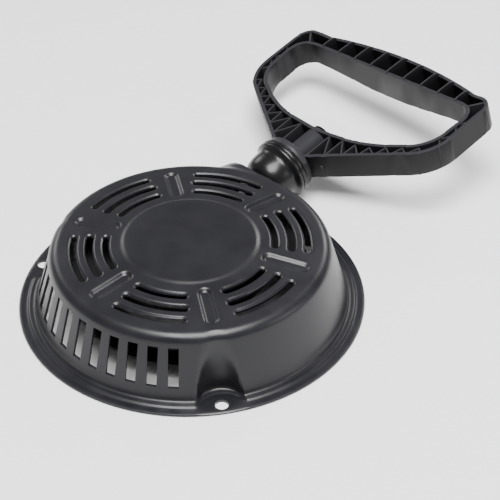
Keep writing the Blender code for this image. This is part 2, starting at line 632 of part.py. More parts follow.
def build_guide(mats):
    high = GUIDE_LOW + GUIDE_T
    plate = [(POST_NOSE_R + GAP, GUIDE_LOW), (GUIDE_R, GUIDE_LOW), (GUIDE_R, high), (POST_NOSE_R + GAP, high)]
    guide = finish("pawl_guide", turned(plate, 44), mats["zinc"])
    cams = bmesh.new()
    for side in ("a", "b"):
        path = []
        for k in range(9):
            share = k / 8
            path.append(Matrix.Rotation(-GUIDE_LAG * share, 2) @ peg_place(PAWL_SWING * share))
        turn = pawl_matrix(side).to_2x2()
        outline = swept_outline([turn @ p for p in path], PEG_R + GAP, steps=6)
        extruded(outline, GUIDE_LOW - MM, high + MM, cams)
    boolean(guide, cutter("cam_slots", cams), "DIFFERENCE")
    holes = bmesh.new()
    for y in (CLIP_HOLE_R, -CLIP_HOLE_R):
        extruded(circle((0, y), 0.9 * MM, 12), GUIDE_LOW - MM, high + MM, holes)
    boolean(guide, cutter("clip_holes", holes), "DIFFERENCE")

    z = high + 1.1 * MM
    ring = POST_R + 2 * GAP + 0.5 * MM
    half_gap = math.radians(28)
    arc = [math.pi / 2 - half_gap - (math.tau - 2 * half_gap - math.pi) * k / 10 for k in range(11)]
    right = [Vector((ring * math.cos(a), ring * math.sin(a), z)) for a in arc]
    leg_top = [Vector((0, CLIP_HOLE_R, GUIDE_LOW + MM)), Vector((0, CLIP_HOLE_R, z - 0.6 * MM)),
               Vector((0.6 * MM, CLIP_HOLE_R - 0.3 * MM, z))]
    leg_low = [Vector((0.6 * MM, -CLIP_HOLE_R + 0.3 * MM, z)), Vector((0, -CLIP_HOLE_R, z - 0.6 * MM)),
               Vector((0, -CLIP_HOLE_R, GUIDE_LOW + MM))]
    wire("friction_spring", leg_top + right + leg_low, 0.5 * MM, mats["spring_steel"])


# ---------------------------------------------------------------- rope

def rope_point(along):
    return OUTLET + Vector((0.0, math.cos(ROPE_TILT), math.sin(ROPE_TILT))) * along


def build_rope(mats, rope_axis):
    """The lead from the reel to the eyelet, and the straight run that the handle pulls out."""
    end = rope_point(NECK_END - 2.4 * MM)
    reach = math.hypot(end.x, end.y)
    leave = math.atan2(end.y, end.x) + math.acos(ROPE_TURN_R / reach)
    start = Vector((ROPE_TURN_R * math.cos(leave), ROPE_TURN_R * math.sin(leave), lane_low() + ROPE_LANE / 2))
    away = Vector((math.sin(leave), -math.cos(leave), 0.0))
    span = (end - start).length
    bend = start + away * span * 0.72
    entry = end - (rope_point(1.0) - rope_point(0.0)) * span * 0.16
    path = []
    for k in range(13):
        t = k / 12
        path.append(start * (1 - t) ** 3 + bend * 3 * t * (1 - t) ** 2 + entry * 3 * t * t * (1 - t) + end * t ** 3)
    wire("rope_lead", path, ROPE_R, mats["rope"])

    knot_at = KNOT_POCKET_AT + 5.6 * MM
    run_low, run_high = NECK_END - 1.6 * MM, knot_at - 3.9 * MM - GAP
    run = [(0, run_low), (ROPE_R, run_low), (ROPE_R, run_high), (0, run_high)]
    finish("rope_run", turned(run, 16, along_y=True), mats["rope"], rope_axis)
    knot = bmesh.new()
    bmesh.ops.create_icosphere(knot, subdivisions=2, radius=3.9 * MM)
    bmesh.ops.translate(knot, verts=knot.verts, vec=(0, knot_at, 0))
    finish("handle_knot", knot, mats["rope"], rope_axis, smooth_deg=60)


# ---------------------------------------------------------------- handle

def handle_outline():
    """The outer edge of the D, from one side of the rope round to the other."""
    corner, grip = HANDLE_CORNER, HANDLE_GRIP
    low = Vector((9.0 * MM, HANDLE_SEAT + HANDLE_FLANGE_T / 2))
    arc = [(grip.x * (1 - k / 4.0), grip.y + HANDLE_BULGE * (1 - (1 - k / 4.0) ** 2)) for k in range(1, 8)]
    points = [tuple(low), tuple(corner), tuple(grip), *arc, (-grip.x, grip.y), (-corner.x, corner.y), (-low.x, low.y)]
    radii = [0, HANDLE_CORNER_R, HANDLE_GRIP_R]
    return rounded(points, radii + [0] * 7 + radii[::-1])


def window_outline():
    """The hand window: a shallow curve over the rope's end, parallel struts and two straight sides."""
    knee = HANDLE_CORNER + Vector((-SIDE_W - 0.3 * MM, 5.4 * MM))
    right = [(knee.x * 0.52, WINDOW_APEX + 3.5 * MM), tuple(knee), (HANDLE_GRIP.x - SIDE_W + 1.1 * MM, GRIP_INNER)]
    left = [(-x, y) for x, y in right][::-1]
    radii = WINDOW_RADII + WINDOW_RADII[::-1]
    return rounded([(0.0, WINDOW_APEX)] + right + left, [0] + radii, steps=4)


def offset(outline, distance):
    """The outline moved to its left by a distance, corner by corner."""
    out = []
    for i, point in enumerate(outline):
        here = Vector(point)
        before = (here - Vector(outline[i - 1])).normalized()
        after = (Vector(outline[(i + 1) % len(outline)]) - here).normalized()
        left = Vector((-before.y - after.y, before.x + after.x)).normalized()
        out.append(tuple(here + left * distance / max(left.dot(Vector((-before.y, before.x))), 0.4)))
    return out


def bar(start, end, thickness, low, high, bm):
    """One straight rib between two points in the handle's plane."""
    start, end = Vector(start), Vector(end)
    side = Vector((start.y - end.y, end.x - start.x)).normalized() * thickness / 2
    extruded([start - side, end - side, end + side, start + side], low, high, bm)


def handle_ribs(low, high):
    """Cross ribs over the grip, and a zigzag along each strut."""
    bm = bmesh.new()
    for k in range(GRIP_RIBS):
        x = (k - (GRIP_RIBS - 1) / 2) * GRIP_RIB_PITCH
        bar((x, GRIP_INNER - MM), (x, HANDLE_GRIP.y + HANDLE_BULGE), RIB_T, low, high, bm)
    for side in (1, -1):
        for k in range(STRUT_RIBS):
            share = (k + 0.5) / STRUT_RIBS
            outer = Vector((13 * MM, 9.6 * MM)).lerp(HANDLE_CORNER - Vector((6 * MM, 3 * MM)), share)
            inner = Vector((11 * MM, WINDOW_APEX)).lerp(Vector((HANDLE_CORNER.x - SIDE_W, HANDLE_CORNER.y)), share)
            inner.x += (0.4 if k % 2 else -0.4) * (HANDLE_CORNER.x - 12 * MM) / STRUT_RIBS
            way = (inner - outer).normalized() * 2 * MM
            bar((side * (outer - way).x, (outer - way).y), (side * (inner + way).x, (inner + way).y),
                RIB_T, low, high, bm)
        for y in (0.3, 0.6, 0.9):
            level = HANDLE_CORNER.y + (GRIP_INNER - HANDLE_CORNER.y) * y
            bar((side * (HANDLE_CORNER.x - SIDE_W - MM), level), (side * (HANDLE_GRIP.x + MM), level),
                RIB_T, low, high, bm)
    return bm


def handle_cells(name, low, high, frame):
    """The cells open to the handle's top: the band between the two rims, less the ribs."""
    band = cutter(name, extruded(offset(handle_outline(), HANDLE_RIM), low, high), frame)
    hole = extruded(offset(window_outline(), -HANDLE_RIM), low - MM, high + MM)
    boolean(band, cutter(f"{name}_window", hole, frame), "DIFFERENCE")
    boolean(band, cutter(f"{name}_ribs", handle_ribs(low - MM, high + MM), frame), "DIFFERENCE")
    return band


def build_handle(mats, rope_axis):
    hinge = empty("handle_frame", Matrix.Rotation(-HANDLE_ROLL, 4, "Y"), rope_axis)
    low = HANDLE_TOP - HANDLE_T
    deep = low - HANDLE_BELLY
    slab = extruded(handle_outline(), deep, HANDLE_TOP)
    handle = finish("handle_body", slab, mats["plastic_black"], hinge)
    window = extruded(window_outline(), deep - MM, HANDLE_TOP + MM)
    boolean(handle, cutter("hand_window", window, hinge), "DIFFERENCE")
    half = HANDLE_GRIP.x + 10 * MM
    belly = [(-half, deep - 5 * MM), (half, deep - 5 * MM), (half, low)]
    reach = HANDLE_GRIP.x - 12 * MM
    belly += [(reach * math.cos(math.pi * k / 12), low - HANDLE_BELLY * math.sin(math.pi * k / 12) ** 2)
              for k in range(13)]
    under = extruded(belly + [(-half, low)], -130 * MM, -(GRIP_INNER - 8 * MM))
    bmesh.ops.rotate(under, verts=under.verts, cent=(0, 0, 0), matrix=Matrix.Rotation(math.pi / 2, 3, "X"))
    boolean(handle, cutter("grip_underside", under, hinge), "DIFFERENCE")
    flat = extruded([(-half, 0), (half, 0), (half, GRIP_INNER - 8 * MM), (-half, GRIP_INNER - 8 * MM)],
                    deep - 5 * MM, low)
    boolean(handle, cutter("strut_underside", flat, hinge), "DIFFERENCE")
    boolean(handle, handle_cells("cells", low + HANDLE_FLOOR, HANDLE_TOP + MM, hinge), "DIFFERENCE")
    base = HANDLE_SEAT + HANDLE_FLANGE_T
    boss_end = KNOT_POCKET_AT + 10.5 * MM
    stem = [(0, HANDLE_SEAT), (HANDLE_FLANGE_R - 0.8 * MM, HANDLE_SEAT), (HANDLE_FLANGE_R, HANDLE_SEAT + 0.8 * MM),
            (HANDLE_FLANGE_R, base - 0.8 * MM), (HANDLE_FLANGE_R - 0.8 * MM, base), (HANDLE_BOSS_R + 2.5 * MM, base),
            (HANDLE_BOSS_R, base + 3 * MM), (HANDLE_BOSS_R, boss_end), (0, boss_end)]
    boolean(handle, cutter("handle_stem", turned(stem, 32, along_y=True), hinge), "UNION")
    bore = ROPE_R + 2 * GAP
    tunnel = [(0, HANDLE_SEAT - MM), (bore, HANDLE_SEAT - MM), (bore, KNOT_POCKET_AT), (KNOT_POCKET_R, KNOT_POCKET_AT),
              (KNOT_POCKET_R, boss_end + MM), (0, boss_end + MM)]
    boolean(handle, cutter("rope_tunnel", turned(tunnel, 28, along_y=True), hinge), "DIFFERENCE")

    washer_low = KNOT_POCKET_AT + GAP
    washer = [(bore, washer_low), (KNOT_POCKET_R - GAP, washer_low), (KNOT_POCKET_R - GAP, washer_low + 0.9 * MM),
              (bore, washer_low + 0.9 * MM)]
    finish("knot_washer", turned(washer, 28, along_y=True), mats["zinc"], hinge)
    plug_low = KNOT_POCKET_AT + 9.9 * MM
    plug = [(0, plug_low), (KNOT_POCKET_R - GAP, plug_low), (KNOT_POCKET_R - GAP, boss_end + GAP),
            (HANDLE_BOSS_R - 0.4 * MM, boss_end + GAP), (HANDLE_BOSS_R - 1.2 * MM, boss_end + 1.5 * MM),
            (0, boss_end + 1.9 * MM)]
    finish("handle_plug", turned(plug, 28, along_y=True), mats["plastic_black"], hinge)


def main():
    clear_scene()
    mats = {
        "satin_black": make_material("satin_black_paint", (0.045, 0.045, 0.05), 0.38),
        "gloss_black": make_material("gloss_black_plastic", (0.02, 0.02, 0.022), 0.2),
        "plastic_black": make_material("moulded_black_plastic", (0.035, 0.035, 0.037), 0.5),
        "nylon_black": make_material("reel_nylon", (0.03, 0.03, 0.032), 0.55),
        "rubber": make_material("black_rubber", (0.02, 0.02, 0.02), 0.8),
        "steel": make_material("hardened_steel", (0.3, 0.3, 0.31), 0.35, 1.0),
        "zinc": make_material("zinc_plate", (0.6, 0.6, 0.58), 0.35, 1.0),
        "spring_steel": make_material("blued_spring_steel", (0.12, 0.12, 0.15), 0.3, 1.0),
        "bronze": make_material("sintered_bronze", (0.45, 0.28, 0.12), 0.5, 1.0),
        "rope": make_material("braided_rope", (0.06, 0.06, 0.06), 0.85),
    }
    tilt = Matrix.Translation(OUTLET) @ Matrix.Rotation(ROPE_TILT, 4, "X")
    rope_axis = empty("rope_axis", tilt)
    build_case(mats, rope_axis)
    build_outlet(mats, rope_axis)
    build_centre(mats)
    build_rewind_spring(mats)
    build_reel(mats)
    for side in ("a", "b"):
        build_pawl(side, mats)
    build_guide(mats)
    build_rope(mats, rope_axis)
    build_handle(mats, rope_axis)


main()
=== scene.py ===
# %% [markdown]
# # A recoil starter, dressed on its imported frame
# A recoil starter is the pull-rope unit on a small engine: a pressed-steel case, a rope reel inside
# it, and a handle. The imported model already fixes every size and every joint. This script loads it,
# then makes finer pieces and finishes over it. Lengths are written in millimetres and turned to
# metres by MM, because a maker reads a starter's sizes in millimetres.

# %% Load the frame
import json
import math

import bmesh
import bpy
from mathutils import Matrix, Vector

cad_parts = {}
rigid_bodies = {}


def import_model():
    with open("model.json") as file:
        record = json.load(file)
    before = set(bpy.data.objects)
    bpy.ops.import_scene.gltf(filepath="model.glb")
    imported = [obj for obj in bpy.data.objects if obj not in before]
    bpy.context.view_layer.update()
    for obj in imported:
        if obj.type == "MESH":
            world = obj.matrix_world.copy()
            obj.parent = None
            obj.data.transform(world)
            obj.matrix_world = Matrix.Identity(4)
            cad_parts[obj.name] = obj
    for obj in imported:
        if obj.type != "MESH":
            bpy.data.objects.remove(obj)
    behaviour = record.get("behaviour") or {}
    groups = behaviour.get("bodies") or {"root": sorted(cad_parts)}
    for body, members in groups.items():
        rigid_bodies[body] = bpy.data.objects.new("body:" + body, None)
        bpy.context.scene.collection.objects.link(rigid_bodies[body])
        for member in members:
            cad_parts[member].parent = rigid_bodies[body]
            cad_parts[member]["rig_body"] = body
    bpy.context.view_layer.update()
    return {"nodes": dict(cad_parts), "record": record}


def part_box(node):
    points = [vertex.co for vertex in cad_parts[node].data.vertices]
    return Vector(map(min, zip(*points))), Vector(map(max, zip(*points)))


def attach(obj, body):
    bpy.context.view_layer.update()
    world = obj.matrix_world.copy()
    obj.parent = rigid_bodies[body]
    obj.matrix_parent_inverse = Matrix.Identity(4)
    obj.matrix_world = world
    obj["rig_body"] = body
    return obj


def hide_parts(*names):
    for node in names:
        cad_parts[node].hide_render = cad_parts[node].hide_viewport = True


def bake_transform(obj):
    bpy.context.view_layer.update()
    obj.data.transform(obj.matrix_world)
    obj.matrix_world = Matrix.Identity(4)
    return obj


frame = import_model()
MM = 0.001

# %% [markdown]
# ## The view
# The camera comes first, so that every piece can be judged from the start. Its matrix is put
# together from three unit vectors: right, up and back. That states exactly where it looks, with no
# need to aim it at a target. A long lens keeps the perspective as flat as a catalogue picture's.

# %% Camera
EYE = (0.5977, -0.5207, 0.6606)
ROLL = 0.0078
forward = Vector((-0.5692, 0.5402, -0.6199)).normalized()
level = Vector((0.6884, 0.7254, 0.0)).normalized()
lift = level.cross(forward)
right = level * math.cos(ROLL) - lift * math.sin(ROLL)
up = level * math.sin(ROLL) + lift * math.cos(ROLL)

camera_data = bpy.data.cameras.new("studio_camera")
camera_data.lens = 127.83
camera_data.sensor_width = 36.0
camera_data.clip_start = 0.01
camera = bpy.data.objects.new("studio_camera", camera_data)
bpy.context.scene.collection.objects.link(camera)
camera.matrix_world = Matrix.Translation(EYE) @ Matrix((right, up, -forward)).transposed().to_4x4()
bpy.context.scene.camera = camera
print("camera height above the bench, mm:", round(camera.location.z / MM))

# %% [markdown]
# ## Helpers for pieces
# Each piece starts as a bmesh, Blender's editable mesh. `finish_piece` turns it into an object:
# it merges doubles, points the faces outwards, shades it smooth with crisp edges above an angle,
# and lets it ride on one of the frame's bodies. `spun` turns a section round an axis as a lathe does.
# `add_part` and `cut_out` join and cut whole solids.

# %% Helpers for pieces
# Lengths in metres that count as nothing: a distance from the axis, and a rise along an edge.
ON_AXIS, LEVEL = 1e-8, 1e-7


def finish_piece(name, bm, material, body, crisp=38.0, weld=0.004):
    """A bmesh becomes a named object that rides on a body."""
    bmesh.ops.remove_doubles(bm, verts=bm.verts, dist=weld * MM)
    bmesh.ops.recalc_face_normals(bm, faces=bm.faces)
    mesh = bpy.data.meshes.new(name)
    bm.to_mesh(mesh)
    bm.free()
    mesh.materials.append(material)
    mesh.shade_smooth()
    mesh.set_sharp_from_angle(angle=math.radians(crisp))
    piece = bpy.data.objects.new(name, mesh)
    bpy.context.scene.collection.objects.link(piece)
    if body:
        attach(piece, body)
    print(f"{name}: {len(mesh.polygons)} faces")
    return piece


def spun(outline, steps, axis="Z"):
    """Spins a closed outline of (radius, height) millimetres round the axis, Z or Y."""
    bm = bmesh.new()
    verts = [bm.verts.new((r * MM, 0.0, z * MM)) for r, z in outline]
    ring = list(zip(verts, verts[1:] + verts[:1]))
    # An edge on the axis would spin into nothing, so it is left out.
    edges = [bm.edges.new(pair) for pair in ring if max(pair[0].co.x, pair[1].co.x) > ON_AXIS]
    bmesh.ops.spin(bm, geom=verts + edges, cent=(0, 0, 0), axis=(0, 0, 1),
                   angle=math.tau, steps=steps, use_merge=True)
    bmesh.ops.remove_doubles(bm, verts=bm.verts, dist=0.001 * MM)
    if axis == "Y":
        bmesh.ops.rotate(bm, verts=bm.verts, cent=(0, 0, 0), matrix=Matrix.Rotation(-math.pi / 2, 3, "X"))
    return bm


def add_part(bm, part):
    """Adds another bmesh's shape to this one, by way of a mesh that is thrown away."""
    carrier = bpy.data.meshes.new("carrier")
    part.to_mesh(carrier)
    part.free()
    bm.from_mesh(carrier)
    bpy.data.meshes.remove(carrier)


def cut_out(piece, cutter, crisp=38.0):
    """Takes a cutter's solid out of a piece with a Boolean modifier, and throws the cutter away."""
    cut = piece.modifiers.new("cut", "BOOLEAN")
    cut.object = cutter
    cut.solver = "EXACT"
    bpy.context.view_layer.update()
    mesh = bpy.data.meshes.new_from_object(piece.evaluated_get(bpy.context.evaluated_depsgraph_get()))
    piece.modifiers.clear()
    piece.data = mesh
    mesh.shade_smooth()
    mesh.set_sharp_from_angle(angle=math.radians(crisp))
    bpy.data.objects.remove(cutter, do_unlink=True)
    print(f"{piece.name} after cutting: {len(mesh.polygons)} faces")


def extruded(bm, faces):
    """Extrudes faces, and returns the new vertices."""
    made = bmesh.ops.extrude_face_region(bm, geom=faces)
    return [g for g in made["geom"] if isinstance(g, bmesh.types.BMVert)]


def bevel_edges(bm, edges, width, clamp=False):
    """Rounds edges with two narrow strips each."""
    bmesh.ops.bevel(bm, geom=edges, offset=width * MM, segments=2, profile=0.5, affect="EDGES",
                    material=-1, clamp_overlap=clamp)


def arc_points(centre, radius, first_deg, last_deg, steps):
    """Points on an arc, for a profile's rounded corner."""
    angles = [math.radians(first_deg + (last_deg - first_deg) * k / steps) for k in range(steps + 1)]
    return [(centre[0] + radius * math.cos(a), centre[1] + radius * math.sin(a)) for a in angles]


def soft_max(a, b, k):
    """The larger of two lengths, with the corner between them rounded over a width k."""
    near = max(k - abs(a - b), 0.0) / k
    return max(a, b) + near * near * k / 4


def soft_min(a, b, k):
    """The smaller of two lengths, with the corner between them rounded over a width k."""
    return -soft_max(-a, -b, k)


def ease(t):
    """0 to 1 with a level start and a level end."""
    t = min(max(t, 0.0), 1.0)
    return t * t * (3 - 2 * t)

# %% [markdown]
# ## Finishes
# Every finish is a node tree on the Principled shader. Fine noise in Object coordinates drives the
# bump, and slow noise drives the roughness and the colour, because paint and moulded plastic are
# never perfectly even. Outer edges can be lighter: a painted edge highlight. The values that are the same all
# over, such as metalness, are set straight on the shader.

# %% Finish helper
# How much the painted edge highlight and the painted highlight on faces that look up lighten the colour.
EDGE_HIGHLIGHT_TINT, TOP_HIGHLIGHT_TINT = 3.5, 4.0


def grained_finish(name, colour, rough, grain_mm, bump_um, metal=0.0, rough_swing=0.08, blotch_mm=18.0,
                   edge_highlight_gain=0.0, mirror=0.5, lighter=1.25, highlight_attribute=""):
    """A painted, moulded or plated surface: fine grain for bump, slow blotches for colour and gloss."""
    mat = bpy.data.materials.new(name)
    mat.use_nodes = True
    nodes, links = mat.node_tree.nodes, mat.node_tree.links
    shader = nodes["Principled BSDF"]
    shader.inputs["Metallic"].default_value = metal
    shader.inputs["Specular IOR Level"].default_value = mirror
    place = nodes.new("ShaderNodeTexCoord")

    grain = nodes.new("ShaderNodeTexNoise")
    grain.inputs["Scale"].default_value = 1000.0 / grain_mm
    grain.inputs["Detail"].default_value = 3.0
    links.new(place.outputs["Object"], grain.inputs["Vector"])
    bump = nodes.new("ShaderNodeBump")
    bump.inputs["Strength"].default_value = 1.0
    bump.inputs["Distance"].default_value = bump_um * 1e-6
    links.new(grain.outputs["Fac"], bump.inputs["Height"])
    links.new(bump.outputs["Normal"], shader.inputs["Normal"])

    blotch = nodes.new("ShaderNodeTexNoise")
    blotch.inputs["Scale"].default_value = 1000.0 / blotch_mm
    blotch.inputs["Detail"].default_value = 5.0
    links.new(place.outputs["Object"], blotch.inputs["Vector"])
    gloss = nodes.new("ShaderNodeMapRange")
    gloss.inputs["From Min"].default_value = 0.3
    gloss.inputs["From Max"].default_value = 0.7
    gloss.inputs["To Min"].default_value = rough - rough_swing
    gloss.inputs["To Max"].default_value = rough + rough_swing
    links.new(blotch.outputs["Fac"], gloss.inputs["Value"])
    links.new(gloss.outputs["Result"], shader.inputs["Roughness"])

    shade = nodes.new("ShaderNodeValToRGB")
    shade.color_ramp.elements[0].position = 0.3
    shade.color_ramp.elements[0].color = (*colour, 1.0)
    shade.color_ramp.elements[1].position = 0.72
    shade.color_ramp.elements[1].color = (*[c * lighter for c in colour], 1.0)
    links.new(blotch.outputs["Fac"], shade.inputs["Fac"])
    tint = shade.outputs["Color"]
    if edge_highlight_gain > 0.0:
        # A painted edge highlight: the colour is lightened on outer edges.
        # Pointiness is 0.5 on a flat face and more on an outer edge.
        ridge = nodes.new("ShaderNodeNewGeometry")
        edge_highlight = nodes.new("ShaderNodeMapRange")
        edge_highlight.inputs["From Min"].default_value = 0.52
        edge_highlight.inputs["From Max"].default_value = 0.62
        edge_highlight.inputs["To Max"].default_value = edge_highlight_gain
        links.new(ridge.outputs["Pointiness"], edge_highlight.inputs["Value"])
        blend = nodes.new("ShaderNodeMix")
        blend.data_type = "RGBA"
        links.new(edge_highlight.outputs["Result"], blend.inputs["Factor"])
        links.new(tint, blend.inputs["A"])
        blend.inputs["B"].default_value = (*[min(c * EDGE_HIGHLIGHT_TINT, 1.0) for c in colour], 1.0)
        tint = blend.outputs["Result"]
    # Faces named by this attribute get a painted highlight: their colour is lightened.
    if highlight_attribute:
        where = nodes.new("ShaderNodeAttribute")
        where.attribute_name = highlight_attribute
        hand = nodes.new("ShaderNodeMix")
        hand.data_type = "RGBA"
        links.new(where.outputs["Fac"], hand.inputs["Factor"])
        links.new(tint, hand.inputs["A"])
        hand.inputs["B"].default_value = (*[min(c * TOP_HIGHLIGHT_TINT, 1.0) for c in colour], 1.0)
        tint = hand.outputs["Result"]
    links.new(tint, shader.inputs["Base Color"])
    return mat

# %% Finishes
case_paint = grained_finish("case_paint", (0.0085, 0.0085, 0.0105), 0.33, 0.9, 9.0, edge_highlight_gain=0.5,
                            rough_swing=0.05, mirror=0.36)
outlet_gloss = grained_finish("outlet_gloss", (0.005, 0.005, 0.0055), 0.27, 1.6, 4.0, rough_swing=0.03,
                              mirror=0.3)
handle_plastic = grained_finish("handle_plastic", (0.0055, 0.0055, 0.0062), 0.42, 0.5, 16.0, edge_highlight_gain=0.6,
                                rough_swing=0.03, mirror=0.2, highlight_attribute="painted_top_highlight")
reel_nylon = grained_finish("reel_nylon", (0.010, 0.010, 0.011), 0.55, 0.8, 20.0)
bumper_rubber = grained_finish("bumper_rubber", (0.008, 0.008, 0.008), 0.7, 0.4, 25.0)
oiled_steel = grained_finish("oiled_steel", (0.24, 0.24, 0.25), 0.33, 0.7, 6.0, metal=1.0)
zinc_plate = grained_finish("zinc_plate", (0.50, 0.50, 0.48), 0.34, 0.6, 6.0, metal=1.0)
# Blued steel for the springs. On the spring lid the same dark finish is painted shade.
blued_steel_and_lid_shade = grained_finish("blued_steel_and_lid_shade", (0.040, 0.042, 0.052), 0.36, 0.7, 6.0, metal=1.0)
bronze = grained_finish("sintered_bronze", (0.42, 0.26, 0.12), 0.5, 0.4, 14.0, metal=1.0)
print("finishes:", len(bpy.data.materials))

# %% [markdown]
# ## The case
# The real case is one disc of sheet steel, drawn in a press. So it is made the way it is pressed:
# a thin closed section is spun round the axis with `bmesh.ops.spin`, then the vertices are pushed
# where the press tools push the sheet, and last the slots are punched. Spinning gives the round
# form in one step, and the pushes keep the sheet's thickness, because both skins move together.

# %% Section of the case
SHEET = 1.5
FLANGE_R = 100.0
FOOT_R, LEAN = 90.8, 0.2933
TOP_AT_AXIS, TOP_FALL = 45.67, 0.085
DISC_TOP = 43.2
DISC_EDGE, STEP_PITCH, STEP_POINTS = 36.6, 0.75, 6
SHOULDER_R = 6.5
LEDGE_H = 0.8
OUTER_FOOT_Z, INNER_FOOT_Z = 5.0, 3.2
# The inner skin lies one sheet below the outer one. Measured upright or level instead of square to
# the sheet, that distance is a little longer.
TOP_SLANT, WALL_SLANT = 1.004, 1.042


def wall_r(z):
    """Radius of the plain leaning wall at a height."""
    return FOOT_R - LEAN * z


def ring_z(r):
    """Height of the plain top ring at a radius."""
    return TOP_AT_AXIS - TOP_FALL * r


def shoulder(inset):
    """The arc between the ring's line and the wall's line."""
    wall_angle = math.degrees(math.atan(LEAN))
    ring_angle = 90 - math.degrees(math.atan(TOP_FALL))
    radius = SHOULDER_R - inset
    turn = math.radians(ring_angle - wall_angle) / 2
    foot_r = FOOT_R - inset * WALL_SLANT
    corner_z = (TOP_AT_AXIS - inset * TOP_SLANT - TOP_FALL * foot_r) / (1 - TOP_FALL * LEAN)
    corner_r = foot_r - LEAN * corner_z
    middle = math.radians((ring_angle + wall_angle) / 2)
    away = radius / math.cos(turn)
    centre = (corner_r - away * math.cos(middle), corner_z - away * math.sin(middle))
    return arc_points(centre, radius, ring_angle, wall_angle, 9)


def spread(first, last, count):
    """Evenly spaced points between two places, without the ends."""
    steps = [k / (count + 1) for k in range(1, count + 1)]
    return [(first[0] + (last[0] - first[0]) * t, first[1] + (last[1] - first[1]) * t) for t in steps]


def skin(inset, ring_count, wall_count):
    """One skin of the case, from the axis to the top of the foot."""
    top = [(r, DISC_TOP - inset) for r in (0.0, 12.0, 24.0, 33.0)]
    last = STEP_POINTS - 1
    drop = DISC_TOP - ring_z(DISC_EDGE + STEP_PITCH * last)
    for k in range(STEP_POINTS):
        top.append((DISC_EDGE + STEP_PITCH * k, DISC_TOP - drop * ease(k / last) - inset))
    round_over = shoulder(inset)
    top += spread(top[-1], round_over[0], ring_count) + round_over
    foot_z = OUTER_FOOT_Z if inset == 0 else INNER_FOOT_Z
    foot = (wall_r(foot_z) - inset * WALL_SLANT, foot_z)
    return top + spread(round_over[-1], foot, wall_count) + [foot]


outer = skin(0.0, 60, 17)
inner = skin(SHEET, 30, 9)
foot_turn = [(89.9, 3.7), (90.4, 2.9), (91.2, 2.4), (92.2, 2.3), (93.4, 2.3), (94.1, 2.22), (94.6, 1.98),
             (95.0, 1.68), (95.6, 1.52), (96.6, 1.5), (98.2, 1.5), (99.3, 1.48), (99.8, 1.3), (100.0, 0.95),
             (100.0, 0.5), (99.85, 0.15), (99.5, 0.0), (97.5, 0.0), (95.0, 0.0), (92.6, 0.05), (91.0, 0.3),
             (89.6, 0.95), (88.9, 1.9)]
section = outer + foot_turn + inner[::-1]
case = spun(section, 480)
print("section points:", len(section), " spun faces:", len(case.faces))

# %% [markdown]
# ## Pressing the features
# A press tool moves the sheet down round each radial groove and each slot's lip, in at each bolt,
# and out at the rope outlet. Each of these is a distance to a simple shape, turned into a push by
# a smooth curve. Moving vertices by a distance like this is how a sculpt brush works as well.

# %% Press tools for the top
BOLT_DEG = -32.5
GROOVES = [math.radians(BOLT_DEG + 60 * k) for k in range(6)]
GROOVE_IN_R, GROOVE_OUT_R = 46.8, 66.8
GROOVE_DEPTH, GROOVE_REACH, GROOVE_SIDE = 1.65, 4.6, 2.7
SLOT_ROWS = ((48.1, 16.1, 1.75), (57.6, 17.0, 2.0), (66.6, 16.6, 1.75))    # radius, half angle, half width
LIP_W, LIP_DROP, LIP_CURVE = 1.2, 1.1, 1.7


def groove_push(r, theta):
    """How far the sheet is pushed down by the nearest radial groove."""
    off = min(abs(math.remainder(theta - g, math.tau)) for g in GROOVES)
    x, y = r * math.cos(off), r * math.sin(off)
    along = min(max(x, GROOVE_IN_R), GROOVE_OUT_R)
    d = math.hypot(x - along, y)
    return GROOVE_DEPTH * ease((GROOVE_REACH - d) / GROOVE_SIDE)


def slot_distance(r, theta, row):
    """Distance outside a slot's edge. It is negative within the slot."""
    radius, half_deg, half_width = row
    off = min(abs(math.remainder(theta - g - math.pi / 6, math.tau)) for g in GROOVES)
    half = math.radians(half_deg)
    over = max(off - half, 0.0)
    if over == 0.0:
        return abs(r - radius) - half_width
    gap = r * r + radius * radius - 2 * r * radius * math.cos(over)
    return math.sqrt(max(gap, 0.0)) - half_width


def lip_push(r, theta):
    """How far the sheet turns down at a slot's edge."""
    push = 0.0
    for row in SLOT_ROWS:
        d = slot_distance(r, theta, row)
        if d < LIP_W:
            push = max(push, LIP_DROP * ((LIP_W - max(d, 0.0)) / LIP_W) ** LIP_CURVE)
    return push

# %% Press tools for the wall
OUTLET = Vector((-34.4, 107.8, 21.5))
TILT = math.radians(12.0)
ALONG_ROPE = Vector((0.0, math.cos(TILT), math.sin(TILT)))
SPOUT_R, SPOUT_FACE, SPOUT_DRAFT = 22.0, -25.9, 0.3
SPOUT_RIGHT, SPOUT_EDGE, SPOUT_SIDE = 25.0, 2.6, 8.0
SPOUT_SPAN = (60, 185)              # the bearings in degrees that the bulge can reach
BOLT_R, RELIEF_R = 93.8, 13.5
HEART = (60.0, 20.0)                # radius and height of a ring inside the case
FOOT_Z = 6.0                        # above this the bulge is pushed along its ray
LEDGE_R = 94.2
TOP_R, TOP_Z = 73.5, 36.0           # grooves and slots lie inside this radius and above this height
SPOUT_FROM_R, SCALLOP_FROM_R = 66.0, 76.0
SHEET_BLEND, SPOUT_BLEND, SCALLOP_BLEND = 5.0, 3.0, 2.4
HALVINGS = 22


def spout_outside(x, y, z):
    """Signed distance to the bulge that carries the rope outlet, positive outside it."""
    across = x - OUTLET.x
    dy, dz = y - OUTLET.y, z - OUTLET.z
    along = dy * math.cos(TILT) + dz * math.sin(TILT)
    height = dz * math.cos(TILT) - dy * math.sin(TILT)
    round_side = math.hypot(min(across, 0.0), height) - SPOUT_R - SPOUT_DRAFT * (SPOUT_FACE - along)
    return soft_max(soft_max(along - SPOUT_FACE, round_side, SPOUT_EDGE), across - SPOUT_RIGHT, SPOUT_SIDE)


